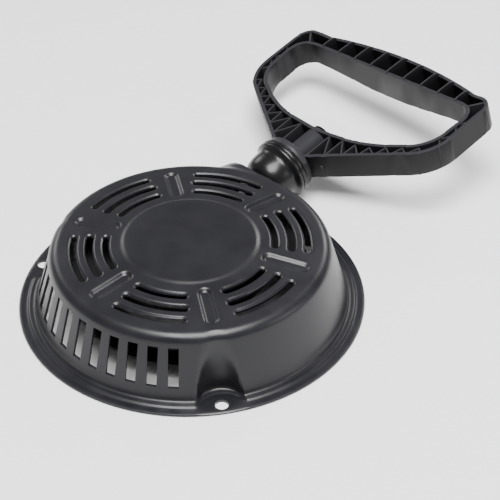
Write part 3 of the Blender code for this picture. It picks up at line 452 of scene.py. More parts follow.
def spout_push(r, theta, z):
    """How far out the bulge pushes the sheet, along a ray from a ring inside the case."""
    dr, dz = r - HEART[0], z - HEART[1]
    reach = math.hypot(dr, dz)
    dr, dz = dr / reach, dz / reach
    cos_t, sin_t = math.cos(theta), math.sin(theta)

    def outside(t):
        q = HEART[0] + dr * t
        return spout_outside(q * cos_t, q * sin_t, HEART[1] + dz * t)

    if outside(0.0) > 0.0:
        return 0.0, dr, dz
    # The bulge's surface is found by halving the stretch that holds it.
    low, high = 0.0, 60.0
    for _ in range(HALVINGS):
        middle = (low + high) / 2
        if outside(middle) < 0.0:
            low = middle
        else:
            high = middle
    to_wall = (wall_r(HEART[1]) - HEART[0]) / max(dr + LEAN * dz, 0.05)
    to_top = (ring_z(HEART[0]) - HEART[1]) / max(dz + TOP_FALL * dr, 0.05)
    sheet = soft_min(to_wall, to_top, SHEET_BLEND)
    return soft_max(sheet, low, SPOUT_BLEND) - sheet, dr, dz


def relief_r(theta):
    """Radius of the upright scallop's inner side at this bearing, or None away from the bolts."""
    off = min(abs(math.remainder(theta - math.radians(BOLT_DEG + 120 * k), math.tau)) for k in range(3))
    side = BOLT_R * math.sin(off)
    if off > 0.3 or side >= RELIEF_R:
        return None
    return BOLT_R * math.cos(off) - math.sqrt(RELIEF_R ** 2 - side ** 2)


def press_point(r, theta, z):
    """Where the press leaves a point of the plain spun case."""
    on_top = r < TOP_R and z > TOP_Z
    if on_top:
        z -= groove_push(r, theta) + lip_push(r, theta)
    near_spout = SPOUT_SPAN[0] < math.degrees(theta) % 360 < SPOUT_SPAN[1] and r > SPOUT_FROM_R
    if near_spout:
        push, dr, dz = spout_push(r, theta, max(z, FOOT_Z))
        if z > FOOT_Z:
            fade = ease((z - FOOT_Z) / 4.0)
            r, z = r + dr * push * fade + push * (1 - fade), z + dz * push * fade
        elif push > 0.0:
            room = FLANGE_R - FOOT_R
            r = r + push if r < FOOT_R else FLANGE_R - (FLANGE_R - r) * max(room - push, 1.2) / room
    scallop = relief_r(theta)
    if scallop is not None and r > SCALLOP_FROM_R:
        line = wall_r(min(max(z, 2.0), TOP_Z))
        push = line - soft_min(line, scallop, SCALLOP_BLEND)
        if r > LEDGE_R:
            push *= (FLANGE_R - r) / (FLANGE_R - LEDGE_R)
        r -= push
        if z < 4.0 and push > 0.0:
            z -= LEDGE_H * ease(push / 3.0) * ease((z - 1.5) / 0.5)
    return r, z

# %% Press the case
PRESSED_FROM = 41.0
for v in case.verts:
    r, theta, z = math.hypot(v.co.x, v.co.y) / MM, math.atan2(v.co.y, v.co.x), v.co.z / MM
    if r > PRESSED_FROM:
        r, z = press_point(r, theta, z)
        v.co = Vector((r * math.cos(theta), r * math.sin(theta), z)) * MM
print("case height after pressing, mm:", round(max(v.co.z for v in case.verts) / MM, 2))

# %% [markdown]
# ## Punching the slots
# Slots, vents and holes go right through the sheet. A punch is a solid a little longer than the
# sheet is thick, and a Boolean modifier takes them all out at once. Its Exact solver is used,
# because it copes with the curved sheet. Each punch is an outline, extruded into a prism. A slot's
# outline is two long arcs joined by round ends.

# %% Punches
VENT_COUNT, VENT_PITCH_DEG, VENT_MIDDLE_DEG = 12, 7.94, -92.5
VENT_HALF_W, VENT_LOW, VENT_HIGH = 2.9, 9.5, 32.3
VENT_FROM, VENT_TO = 74, 96
SLOT_LOW, SLOT_HIGH = 34.0, 48.0
BOLT_HOLE_R, BOLT_HOLE_LOW, BOLT_HOLE_HIGH = 3.75, -4, 6
NECK_HOLE_R, NECK_FROM, NECK_TO = 6.5, -36, -18


def add_punch(bm, outline, low, high):
    """A prism from an outline in millimetres."""
    face = bm.faces.new([bm.verts.new((x * MM, y * MM, low * MM)) for x, y in outline])
    bmesh.ops.translate(bm, verts=extruded(bm, [face]), vec=(0, 0, (high - low) * MM))


def slot_outline(radius, half_deg, half_width, middle):
    """An arc slot with round ends: out along one side, round the end, back, and round again."""
    half = math.radians(half_deg)

    def side(r, start, end):
        angles = [start + (end - start) * k / 24 for k in range(25)]
        return [(r * math.cos(a), r * math.sin(a)) for a in angles]

    def round_end(bearing, first):
        centre = (radius * math.cos(bearing), radius * math.sin(bearing))
        angles = [bearing + first + math.pi * k / 10 for k in range(1, 10)]
        return [(centre[0] + half_width * math.cos(a), centre[1] + half_width * math.sin(a)) for a in angles]

    outline = side(radius + half_width, middle - half, middle + half) + round_end(middle + half, 0.0)
    outline += side(radius - half_width, middle + half, middle - half) + round_end(middle - half, math.pi)
    return outline


punches = bmesh.new()
for g in GROOVES:
    for row in SLOT_ROWS:
        add_punch(punches, slot_outline(*row, g + math.pi / 6), SLOT_LOW, SLOT_HIGH)
vent_corners = ((VENT_FROM, -VENT_HALF_W), (VENT_TO, -VENT_HALF_W), (VENT_TO, VENT_HALF_W),
                (VENT_FROM, VENT_HALF_W))
for k in range(VENT_COUNT):
    turn = Matrix.Rotation(math.radians(VENT_MIDDLE_DEG + (k - (VENT_COUNT - 1) / 2) * VENT_PITCH_DEG), 2)
    add_punch(punches, [turn @ Vector(corner) for corner in vent_corners], VENT_LOW, VENT_HIGH)
for k in range(3):
    bearing = math.radians(BOLT_DEG + 120 * k)
    centre = (BOLT_R * math.cos(bearing), BOLT_R * math.sin(bearing))
    circle = arc_points(centre, BOLT_HOLE_R, 0, 360, 32)[:-1]
    add_punch(punches, circle, BOLT_HOLE_LOW, BOLT_HOLE_HIGH)
neck_section = [(0, NECK_FROM), (NECK_HOLE_R, NECK_FROM), (NECK_HOLE_R, NECK_TO), (0, NECK_TO)]
neck = spun(neck_section, 48, "Y")
bmesh.ops.rotate(neck, verts=neck.verts, cent=(0, 0, 0), matrix=Matrix.Rotation(TILT, 3, "X"))
bmesh.ops.translate(neck, verts=neck.verts, vec=OUTLET * MM)
add_part(punches, neck)
punch_piece = finish_piece("punches", punches, case_paint, None)

case_shell = finish_piece("case_shell", case, case_paint, None)
cut_out(case_shell, punch_piece)
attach(case_shell, "root")
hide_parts("case")

# %% [markdown]
# ## The rope outlet
# The rope leaves through a glossy moulded dome with a wide brim. It is a turned shape, so one
# closed section is spun round the rope's axis. The rope's axis leans up by 12 degrees, so a matrix
# `ROPE_FRAME` carries pieces from a frame along the rope into the object's frame.

# %% Outlet dome
ROPE_FRAME = Matrix.Translation(OUTLET * MM) @ Matrix.Rotation(TILT, 4, "X")


def on_rope(bm, frame_matrix=ROPE_FRAME):
    """Carries a piece made along Y into its place on the rope."""
    bmesh.ops.transform(bm, matrix=frame_matrix, verts=bm.verts)
    return bm


dome_outside = [(6.2, -32.0), (6.2, -25.6), (6.9, -25.5), (7.3, -25.1), (7.4, -24.4), (7.3, -23.7),
                (6.9, -23.3), (6.4, -23.1), (6.3, -22.6), (6.4, -22.0), (6.9, -21.6)]
dome_outside += [(9.0, -21.35), (10.6, -20.9), (12.1, -20.1), (13.3, -19.1), (14.3, -17.8), (15.1, -16.2),
                 (15.7, -14.3), (16.1, -12.2), (16.4, -10.0), (16.5, -8.0), (16.6, -6.6), (16.9, -5.6),
                 (17.5, -4.7), (18.2, -4.1), (18.6, -3.7)]
brim = [(18.9, -3.4), (19.2, -3.1), (19.4, -2.7), (19.4, -1.3), (19.3, -1.0), (18.9, -0.85), (18.9, -0.55),
        (19.3, -0.4), (19.4, -0.1), (19.4, 1.5), (19.25, 1.9), (18.9, 2.15), (18.4, 2.2)]
dome_inside = [(17.5, 2.0), (17.4, -2.6), (16.0, -5.0), (14.6, -7.5), (14.4, -11.0), (13.2, -15.0),
               (10.8, -18.0), (7.0, -19.6), (4.3, -20.0), (4.3, -32.0)]
dome_section = dome_outside + brim + dome_inside
dome = finish_piece("outlet_dome_moulding", on_rope(spun(dome_section, 128, "Y")), outlet_gloss, "root")
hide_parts("outlet_dome")

bumper = [(12.0, -0.6), (17.1, -0.6), (17.1, 1.6), (16.6, 2.4), (15.8, 2.7), (12.8, 2.7), (12.2, 2.4),
          (12.0, 1.8)]
bumper_piece = finish_piece("bumper_ring_rubber", on_rope(spun(bumper, 96, "Y")), bumper_rubber, "root")
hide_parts("bumper_ring")

# %% [markdown]
# ## The handle
# The handle is a moulded D. Two thin walls follow the outer edge and the hand window, a floor joins
# them underneath, and ribs cross between them, open to the top. It is built in its own flat
# frame and carried onto the rope at the end. An outline starts as a few corners, and
# `bmesh.ops.bevel` on the vertices rounds each corner by its own amount. `inset_region` then
# gives a wall of even thickness, as the mould does.

# %% Handle outlines
HANDLE_FRAME = ROPE_FRAME @ Matrix.Rotation(math.radians(-7.0), 4, "Y")
H_TOP, H_LOW = 8.2, -8.4
RIM = 2.4
GRIP_IN, GRIP_OUT, GRIP_HALF, BULGE = 95.6, 104.8, 82.4, 11.5
WINDOW = ((0.0, 32.2), (38.2, 35.7), (73.8, 55.7), (75.7, GRIP_IN))
BELLY, BELLY_HALF, BELLY_LEAD = 4.6, 70.4, 9
CROWN_STEPS = 14
WALL_EDGE, RIB_EDGE, GRIP_RIB_EDGE = 0.45, 0.25, 0.3


def flat_loop(corners, offsets):
    """A flat face in the handle's plane, with each corner rounded over its own length."""
    bm = bmesh.new()
    verts = [bm.verts.new((x * MM, y * MM, 0.0)) for x, y in corners]
    bm.faces.new(verts)
    for v, length in zip(verts, offsets):
        if length > 0:
            bmesh.ops.bevel(bm, geom=[v], offset=length * MM, segments=14, profile=0.5,
                            affect="VERTICES", material=-1, clamp_overlap=False)
    return bm


def grip_back(share):
    """How far out the grip's crowned edge lies, at a share of the way from its middle to its end."""
    return GRIP_OUT + BULGE * (1 - share ** 2)


def outer_loop():
    """The handle's outer edge: two struts, two corners and the crowned back of the grip."""
    right = [(9.0, 5.3), (81.9, 50.3), (GRIP_HALF, GRIP_OUT)]
    shares = [1 - k / CROWN_STEPS for k in range(2, 2 * CROWN_STEPS - 1)]
    crown = [(GRIP_HALF * share, grip_back(share)) for share in shares]
    left = [(-x, y) for x, y in right][::-1]
    return flat_loop(right + crown + left, [0, 15.0, 7.5] + [0] * len(crown) + [7.5, 15.0, 0])


def window_loop():
    """The hand window's edge."""
    left = [(-x, y) for x, y in WINDOW[1:]][::-1]
    return flat_loop(list(WINDOW) + left, [0, 16.0, 13.0, 12.5, 12.5, 13.0, 16.0])


def thicken(bm, low, high):
    """Turns flat faces at zero height into a solid between two heights."""
    top = set(extruded(bm, list(bm.faces)))
    for v in bm.verts:
        v.co.z = (high if v in top else low) * MM
    return bm


def grip_belly(x, y):
    """Extra depth under the grip."""
    if y < GRIP_IN - BELLY_LEAD:
        return 0.0
    across = min(abs(x) / BELLY_HALF, 1.0)
    return BELLY * math.cos(across * math.pi / 2) ** 2 * ease((y - GRIP_IN + BELLY_LEAD) / 7)


def grip_sink(x, y):
    """The walls along the grip stop below its ribs, the outer one lower than the inner."""
    depth = 3.4 if y > GRIP_IN + 4 else 1.2
    return depth * ease((76.0 - abs(x)) / 14.0) * ease((y - 92.0) / 3.0)


def corner_sides(ring):
    """For each point of a ring, the direction midway between the sides of its two edges, and the
    cosine between that direction and the first edge's side."""
    sides = []
    for i, v in enumerate(ring):
        before = (v.co - ring[i - 1].co).normalized()
        after = (ring[(i + 1) % len(ring)].co - v.co).normalized()
        side = Vector((before.y + after.y, -before.x - after.x, 0.0)).normalized()
        sides.append((side, side.dot(Vector((before.y, -before.x, 0.0)))))
    return sides

# %% Handle walls
def rim_wall(bm, outside):
    """Makes an outline into a wall of RIM thickness, outside it or inside it."""
    long_ones = [e for e in bm.edges if e.calc_length() > 5 * MM]
    bmesh.ops.subdivide_edges(bm, edges=long_ones, cuts=12)
    if outside:
        face = list(bm.faces)[0]
        facing = face.normal.z if abs(face.normal.z) > 0.5 else 1.0
        ring = list(face.verts)
        for v, (side, lean) in zip(ring, corner_sides(ring)):
            v.co += side * facing * RIM * MM / max(lean, 0.5)
    made = bmesh.ops.inset_region(bm, faces=list(bm.faces), thickness=RIM * MM, use_even_offset=True,
                                  use_boundary=True)
    strip = set(made["faces"])
    bmesh.ops.delete(bm, geom=[f for f in bm.faces if f not in strip], context="FACES_ONLY")
    thicken(bm, H_LOW, H_TOP)
    for v in bm.verts:
        x, y, z = v.co / MM
        v.co.z = (z - grip_sink(x, y) if z > 0 else z - grip_belly(x, y)) * MM
    sharp = [e for e in bm.edges if len(e.link_faces) == 2 and e.calc_face_angle(0.0) > math.radians(60)]
    bevel_edges(bm, sharp, WALL_EDGE)
    return bm


handle_parts = [rim_wall(outer_loop(), outside=False), rim_wall(window_loop(), outside=True)]
print("wall faces:", [len(part.faces) for part in handle_parts])

# %% [markdown]
# ### Floor and ribs
# The floor is the same outline with the window left out. Both loops are moved a little into the
# walls, so that no edge lies exactly on a wall's face, and `triangle_fill` closes the band between
# them. The ribs over the grip have rounded shoulders, and the struts carry a zigzag that stiffens
# them. Ribs are short bars whose ends run into the walls.

# %% Floor
INTO_WALL = 1.2
FLOOR_UP, FLOOR_T = 0.15, 2.15


def moved_loop(loop, amount):
    """Edges of an outline, moved inwards (positive) or outwards (negative)."""
    ring = list(list(loop.faces)[0].verts)
    for v, (side, _) in zip(ring, corner_sides(ring)):
        v.co -= side * amount * MM
    bmesh.ops.delete(loop, geom=list(loop.faces), context="FACES_ONLY")
    return loop


deck = moved_loop(outer_loop(), INTO_WALL)
add_part(deck, moved_loop(window_loop(), -INTO_WALL))
bmesh.ops.triangle_fill(deck, edges=list(deck.edges), use_beauty=True)
bmesh.ops.subdivide_edges(deck, edges=[e for e in deck.edges if e.calc_length() > 9 * MM], cuts=3)
bmesh.ops.triangulate(deck, faces=deck.faces)
thicken(deck, H_LOW + FLOOR_UP, H_LOW + FLOOR_UP + FLOOR_T)
for v in deck.verts:
    v.co.z -= grip_belly(v.co.x / MM, v.co.y / MM) * MM
handle_parts.append(deck)
print("floor faces:", len(deck.faces))

# %% Ribs
GRIP_RIBS, GRIP_RIB_PITCH, GRIP_RIB_T = 9, 14.6, 1.1


def rib(start, end, low, high, thickness=1.05):
    """A straight bar between two points of the handle's plane."""
    bm = bmesh.new()
    bmesh.ops.create_cube(bm, size=1.0)
    start, end = Vector(start), Vector(end)
    run = end - start
    bmesh.ops.scale(bm, verts=bm.verts, vec=Vector((run.length, thickness, high - low)) * MM)
    heading = Matrix.Rotation(math.atan2(run.y, run.x), 3, "Z")
    bmesh.ops.rotate(bm, verts=bm.verts, cent=(0, 0, 0), matrix=heading)
    middle = (start + end) / 2
    bmesh.ops.translate(bm, verts=bm.verts, vec=Vector((middle.x, middle.y, (low + high) / 2)) * MM)
    rims = [e for e in bm.edges if abs(e.verts[0].co.z - e.verts[1].co.z) < LEVEL]
    bevel_edges(bm, rims, RIB_EDGE)
    return bm


def grip_rib(x):
    """A cross rib over the grip: its outline has rounded shoulders, then it is given its thickness."""
    out = grip_back(x / GRIP_HALF)
    low = H_LOW + 0.5 - grip_belly(x, GRIP_IN)
    bm = bmesh.new()
    corners = ((GRIP_IN + 0.6, low), (out - 0.8, low), (out - 0.15, 7.6), (GRIP_IN + 0.15, 8.4))
    verts = [bm.verts.new((0.0, y * MM, z * MM)) for y, z in corners]
    bm.faces.new(verts)
    for v, reach in zip(verts[2:], (5.0, 3.4)):
        bmesh.ops.bevel(bm, geom=[v], offset=reach * MM, segments=7, profile=0.5, affect="VERTICES",
                        material=-1)
    bmesh.ops.translate(bm, verts=extruded(bm, list(bm.faces)), vec=(GRIP_RIB_T * MM, 0, 0))
    bmesh.ops.translate(bm, verts=bm.verts, vec=((x - GRIP_RIB_T / 2) * MM, 0, 0))
    rims = [e for e in bm.edges if abs(e.verts[0].co.x - e.verts[1].co.x) < LEVEL]
    bevel_edges(bm, rims, GRIP_RIB_EDGE)
    return bm


for k in range(GRIP_RIBS):
    handle_parts.append(grip_rib((k - GRIP_RIBS // 2) * GRIP_RIB_PITCH))
RIB_LOW, RIB_HIGH = H_LOW + 0.7, H_TOP - 0.7
STRUT_FEET = (Vector((12.5, 9.0)), Vector((74.6, 47.4)))
CELLS = 7
SIDE_RIBS, SIDE_RIB_LEAN = (60.0, 67.5, 75.0, 82.5), 3.2


def window_side(x):
    """How far out the window's edge is at this distance from the rope: the strut's inner line."""
    near, far = WINDOW[:2] if x < WINDOW[1][0] else WINDOW[1:3]
    return near[1] + (far[1] - near[1]) * (x - near[0]) / (far[0] - near[0])


for side in (1, -1):
    zigzag = []
    for k in range(2 * CELLS + 1):
        share = (k / (2 * CELLS)) ** 0.92
        foot = STRUT_FEET[0].lerp(STRUT_FEET[1], share)
        if k % 2:
            x = min(foot.x - 6.0 * (1 - share), 70.5)
            foot = Vector((x, window_side(x) - 1.3 - 1.4 * share))
        zigzag.append(foot)
    for start, end in zip(zigzag, zigzag[1:]):
        handle_parts.append(rib((side * start.x, start.y), (side * end.x, end.y), RIB_LOW, RIB_HIGH))
    for k, y in enumerate(SIDE_RIBS):
        lean = SIDE_RIB_LEAN if k % 2 else -SIDE_RIB_LEAN
        handle_parts.append(rib((side * 76.0, y - lean), (side * 80.8, y + lean), RIB_LOW, RIB_HIGH))
    handle_parts.append(rib((side * 70.0, GRIP_IN + 0.6), (side * 77.6, 104.6), RIB_LOW, H_TOP - 0.4, 1.4))
print("handle parts:", len(handle_parts))

# %% [markdown]
# ### Flange, boss and plug
# The round flange sits on the dome's brim, and a tube carries the rope through the web to its knot.
# Both are turned, so they are one spun section. Two small moulding pips mark the struts. All the
# parts then join into one piece, and the faces that look up at the top are marked for a painted highlight.

# %% Stem
PIP_R, PIP_PLACE = 1.5, (21.0, 13.2, -0.5)
flange = [(3.1, 3.0), (16.9, 3.0), (17.5, 3.25), (17.8, 3.8), (17.8, 6.8), (17.5, 7.35), (16.9, 7.6)]
boss = [(10.6, 7.65), (9.2, 8.1), (8.4, 9.2), (8.0, 10.6), (8.0, 31.6), (7.8, 32.8), (7.2, 33.8), (6.6, 34.4),
        (5.2, 34.5), (5.2, 24.0), (3.1, 24.0)]
handle_parts.append(spun(flange + boss, 72, "Y"))
for side in (1, -1):
    pip = bmesh.new()
    bmesh.ops.create_uvsphere(pip, u_segments=20, v_segments=10, radius=PIP_R * MM)
    bmesh.ops.translate(pip, verts=pip.verts, vec=Vector((side * PIP_PLACE[0], *PIP_PLACE[1:])) * MM)
    handle_parts.append(pip)

handle = bmesh.new()
for part in handle_parts:
    bmesh.ops.recalc_face_normals(part, faces=part.faces)
    bmesh.ops.triangulate(part, faces=[f for f in part.faces if len(f.verts) > 4])
    add_part(handle, part)
handle.normal_update()
# Faces that look up are marked for a painted highlight.
facing_up = [face.normal.z > 0.35 and face.calc_center_median().z > -2.0 * MM for face in handle.faces]
on_rope(handle, HANDLE_FRAME)
handle_piece = finish_piece("handle_moulding", handle, handle_plastic, "handle", crisp=32, weld=0.0)
painted_top_highlight = handle_piece.data.attributes.new("painted_top_highlight", "FLOAT", "FACE")
painted_top_highlight.data.foreach_set("value", [1.0 if up_side else 0.0 for up_side in facing_up])
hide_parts("handle_body")

plug = [(0.0, 33.9), (4.9, 33.9), (4.9, 34.7), (6.9, 34.75), (7.2, 35.0), (7.1, 35.4), (6.2, 36.0),
        (3.9, 36.35), (0.0, 36.5)]
plug_cap = on_rope(spun(plug, 48, "Y"), HANDLE_FRAME)
plug_piece = finish_piece("handle_plug_cap", plug_cap, handle_plastic, "handle")
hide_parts("handle_plug")

# %% [markdown]
# ## The rope
# A starter rope is a braid: strands wind round both ways and pass over and under each other. The
# wound part is real geometry. A cord can be seen as a flat sheet rolled into a long tube, so
# `bmesh.ops.create_grid` makes the sheet and each vertex is moved to its place round the path. Its
# radius is a little larger where a strand lies on top.

# %% Braided cord
ROPE_R = 2.5
STRANDS, LAY_MM = 4, 13.0
CORD_STEP = 0.65                    # between two rings of a cord


def even_path(point_at, length_mm, step):
    """Points at about even steps along a path that is given as a function of 0 to 1."""
    count = max(int(length_mm / step), 2)
    return [Vector(point_at(k / count)) for k in range(count + 1)]


def braid_height(around, travel):
    """0 in a gap between strands and 1 on the crown of one."""
    one_way = math.sin(STRANDS * around + math.tau * travel / LAY_MM * STRANDS)
    other_way = math.sin(STRANDS * around - math.tau * travel / LAY_MM * STRANDS)
    return max(one_way, other_way)


def rolled_cord(points, radius, step, around=20, relief=0.09):
    """A capped tube round a path of millimetre points, with the braid's relief."""
    bm = bmesh.new()
    rings = len(points) - 1
    bmesh.ops.create_grid(bm, x_segments=around, y_segments=rings, size=1.0)
    frames, side = [], None
    for k, here in enumerate(points):
        ahead = (points[min(k + 1, rings)] - points[max(k - 1, 0)]).normalized()
        side = ahead.orthogonal() if side is None else side - ahead * side.dot(ahead)
        side.normalize()
        frames.append((here, side.copy(), ahead.cross(side)))
    for v in bm.verts:
        angle = (v.co.x + 1) / 2 * math.tau
        k = round((v.co.y + 1) / 2 * rings)
        here, side, other = frames[k]
        r = radius * (1 - relief + relief * braid_height(angle, k * step))
        v.co = (here + side * r * math.cos(angle) + other * r * math.sin(angle)) * MM
    bmesh.ops.remove_doubles(bm, verts=bm.verts, dist=0.001 * MM)
    bmesh.ops.holes_fill(bm, edges=[e for e in bm.edges if e.is_boundary], sides=0)
    return bm


def rope_finish(name):
    """Black polyester fibre."""
    return grained_finish(name, (0.030, 0.030, 0.032), 0.82, 0.25, 40.0, lighter=2.2, blotch_mm=2.5)


rope_fibre = rope_finish("rope_fibre")

# %% [markdown]
# ### Rope on the reel
# At rest the rope lies on the reel in almost three turns. Two lie side by side on the hub, and the
# third sits in the groove between them. It starts at the knot and leaves the reel on a tangent towards
# the outlet. The radius and height are smooth functions of the angle, so it is one unbroken cord.

# %% Wound rope
LANE_LOW, LANE_HIGH, HUB_R, TURN_R = 9.2, 20.4, 52.0, 60.0
LANE_GAP, HUB_GAP = 0.35, 0.3
MEAN_TURN_R = 56.5
CLIMB_EARLY, CLIMB = 0.5, 0.8       # a climb's lead on its full turn, and its span, both in radians
KNOT_AT = (math.radians(140.0), 47.5)
EYELET_END = OUTLET + ALONG_ROPE * -34.4
LEAVE = math.atan2(EYELET_END.y, EYELET_END.x) + math.acos(TURN_R / math.hypot(EYELET_END.x, EYELET_END.y))
WOUND_TURN = 2 * math.tau + (KNOT_AT[0] - LEAVE) % math.tau


def wound_point(share):
    """A point of the winding, from the knot (0) to where the rope leaves the reel (1)."""
    turned = WOUND_TURN * share
    angle = KNOT_AT[0] - turned
    low, high = LANE_LOW + ROPE_R + LANE_GAP, LANE_HIGH - ROPE_R - LANE_GAP
    to_high = ease((turned - math.tau + CLIMB_EARLY) / CLIMB)
    to_groove = ease((turned - 2 * math.tau + CLIMB_EARLY) / CLIMB)
    z = low + (high - low) * to_high * (1 - 0.5 * to_groove)
    first_r = HUB_R + ROPE_R + HUB_GAP
    r = first_r + (TURN_R - first_r) * to_groove
    return r * math.cos(angle), r * math.sin(angle), z


wound_length = WOUND_TURN * MEAN_TURN_R
wound = rolled_cord(even_path(wound_point, wound_length, CORD_STEP), ROPE_R, CORD_STEP)
wound_piece = finish_piece("rope_winding", wound, rope_fibre, "reel", crisp=60)
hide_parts("rope_wound")
print("rope on the reel, mm:", round(wound_length))

# %% Rope lead
# The lead is one cubic curve: it leaves on the winding's tangent and enters along the rope's axis.
LEAD_START = Vector((TURN_R * math.cos(LEAVE), TURN_R * math.sin(LEAVE), (LANE_LOW + LANE_HIGH) / 2))
LEAD_SPAN = (EYELET_END - LEAD_START).length
LEAD_BEND = LEAD_START + Vector((math.sin(LEAVE), -math.cos(LEAVE), 0.0)) * LEAD_SPAN * 0.72
LEAD_ENTRY = EYELET_END - ALONG_ROPE * LEAD_SPAN * 0.16


def lead_point(t):
    """A point of the cubic curve from the reel (0) to the eyelet (1)."""
    u = 1 - t
    return LEAD_START * u ** 3 + LEAD_BEND * 3 * t * u * u + LEAD_ENTRY * 3 * t * t * u + EYELET_END * t ** 3


lead = rolled_cord(even_path(lead_point, LEAD_SPAN, CORD_STEP), ROPE_R, CORD_STEP)
lead_piece = finish_piece("rope_lead_braid", lead, rope_fibre, "root", crisp=60)
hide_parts("rope_lead")

# %% [markdown]
# ### The rope that pulls out
# Between the outlet and the handle the rope gets longer as it is pulled. A relief in the mesh
# would be drawn out with it. The braid here is therefore a pattern in the material, on Object
# coordinates turned to the rope's axis, which keeps its scale at every length.

# %% Finish of the running rope
def running_braid():
    """The rope's finish, with the braid as a bump: strands wind both ways round the rope's axis."""
    mat = rope_finish("running_rope")
    nodes, links = mat.node_tree.nodes, mat.node_tree.links
    place = nodes.new("ShaderNodeTexCoord")
    turn = nodes.new("ShaderNodeMapping")
    back = Matrix.Rotation(-TILT, 3, "X")
    turn.inputs["Location"].default_value = back @ (OUTLET * -MM)
    turn.inputs["Rotation"].default_value = (-TILT, 0.0, 0.0)
    links.new(place.outputs["Object"], turn.inputs["Vector"])
    axes = nodes.new("ShaderNodeSeparateXYZ")
    links.new(turn.outputs["Vector"], axes.inputs["Vector"])

    def maths(kind, a, b=None):
        """A Math node whose inputs are numbers or other nodes' outputs."""
        node = nodes.new("ShaderNodeMath")
        node.operation = kind
        for socket, value in zip(node.inputs, (a, b)):
            if isinstance(value, float):
                socket.default_value = value
            elif value is not None:
                links.new(value, socket)
        return node.outputs["Value"]

    round_it = maths("MULTIPLY", maths("ARCTAN2", axes.outputs["Z"], axes.outputs["X"]), float(STRANDS))
    along = maths("MULTIPLY", axes.outputs["Y"], math.tau * STRANDS / (LAY_MM * MM))
    one_way = maths("SINE", maths("ADD", round_it, along))
    other_way = maths("SINE", maths("SUBTRACT", round_it, along))
    height = maths("MAXIMUM", one_way, other_way)
    bump = nodes.new("ShaderNodeBump")
    bump.inputs["Distance"].default_value = 0.25 * MM
    links.new(height, bump.inputs["Height"])
    links.new(bump.outputs["Normal"], nodes["Principled BSDF"].inputs["Normal"])
    return mat


RUN_BACK, STRETCH, STRETCH_RINGS, RUN_AHEAD = -33.6, 32, 480, 25
RUN_STEP = 0.1
run_points = [Vector((0, RUN_BACK, 0))]
run_points += [Vector((0, -STRETCH + STRETCH * k / STRETCH_RINGS, 0)) for k in range(STRETCH_RINGS + 1)]
run_points += [Vector((0, k, 0)) for k in range(1, RUN_AHEAD + 1)]
run = rolled_cord(run_points, ROPE_R, RUN_STEP, relief=0.0)
run_piece = finish_piece("rope_running", on_rope(run), running_braid(), None, crisp=60)
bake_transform(run_piece)
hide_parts("rope_run")

# %% [markdown]
# ### Knots
# The rope is tied at both ends. An overhand knot pulled tight has the course of a trefoil, which a
# short formula gives, and the same rolled sheet makes the cord.

# %% Knots
KNOT_STEP = 0.4


def tight_knot(name, centre, size, body, node):
    """A trefoil of rope inside a ball of this radius."""
    def course(share):
        t = math.tau * share
        shape = Vector((math.sin(t) + 2 * math.sin(2 * t), math.cos(t) - 2 * math.cos(2 * t),
                        -1.6 * math.sin(3 * t)))
        return centre + shape * (size * 0.62 / 3.0)

    points = even_path(course, 9.0 * size, KNOT_STEP)
    cord = rolled_cord(points, size * 0.37, KNOT_STEP, around=14)
    piece = finish_piece(name, cord, rope_fibre, body, crisp=60)
    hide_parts(node)


knot_xy = Vector((math.cos(KNOT_AT[0]), math.sin(KNOT_AT[0]), 0.0)) * KNOT_AT[1]
tight_knot("reel_end_knot", knot_xy + Vector((0, 0, 11.0)), 3.7, "reel", "reel_knot")
tight_knot("handle_end_knot", OUTLET + ALONG_ROPE * 29.6, 3.9, "pull_rope", "handle_knot")

# %% [markdown]
# ## Reel and spring cover
# The reel is one nylon moulding: a grooved rim for the rope, a tower for the spring, and a boss for
# its bush. The spring cover is a drawn steel lid. Both are turned shapes, so a section is spun and
# the sharp rings are bevelled, because no mould or press leaves a knife edge.

# %% Softened edges
def soften(bm, width, angle_deg=50.0):
    """Bevels the edges that are sharper than an angle."""
    bmesh.ops.remove_doubles(bm, verts=bm.verts, dist=0.002 * MM)
    least = math.radians(angle_deg)
    sharp = [e for e in bm.edges if len(e.link_faces) == 2 and e.calc_face_angle(0.0) > least]
    bevel_edges(bm, sharp, width, clamp=True)
    return bm


# %% Reel
RIM_R, RIM_LOW, RIM_HIGH = 68.0, 7.0, 22.6
LANE_EDGE_LOW, LANE_EDGE_HIGH = 8.8, 20.8
RECESS_R, RECESS_Z = 43.0, 14.1
BUSH_R, BUSH_SEAT_R, BUSH_LOW = 11.5, 8.4, 10.9
FLOOR_Z, TOWER_IN_R, TOWER_OUT_R, TOWER_TOP = 18.1, 41.3, 44.5, 32.0
WEB_RIBS = 12
POCKET_R, POCKET_DEEP = 4.3, 10
reel_section = [(BUSH_SEAT_R, BUSH_LOW), (BUSH_R, BUSH_LOW), (BUSH_R, RECESS_Z), (RECESS_R, RECESS_Z),
                (RECESS_R, RIM_LOW), (RIM_R, RIM_LOW), (RIM_R, LANE_EDGE_LOW), (HUB_R, LANE_LOW),
                (HUB_R, LANE_HIGH), (RIM_R, LANE_EDGE_HIGH), (RIM_R, RIM_HIGH), (TOWER_OUT_R, RIM_HIGH),
                (TOWER_OUT_R, TOWER_TOP), (TOWER_IN_R, TOWER_TOP), (TOWER_IN_R, FLOOR_Z),
                (BUSH_SEAT_R, FLOOR_Z)]
reel = soften(spun(reel_section, 144), 0.45)
for k in range(WEB_RIBS):
    web_rib = rib((TOWER_OUT_R - 0.5, 0.0), (RIM_R - 1.5, 0.0), RIM_HIGH - 1.0, RIM_HIGH + 1.4, 1.6)
    bearing = Matrix.Rotation(math.tau * (k + 0.3) / WEB_RIBS, 3, "Z")
    bmesh.ops.rotate(web_rib, verts=web_rib.verts, cent=(0, 0, 0), matrix=bearing)
    add_part(reel, web_rib)
reel_piece = finish_piece("reel_moulding", reel, reel_nylon, "reel", weld=0.0)

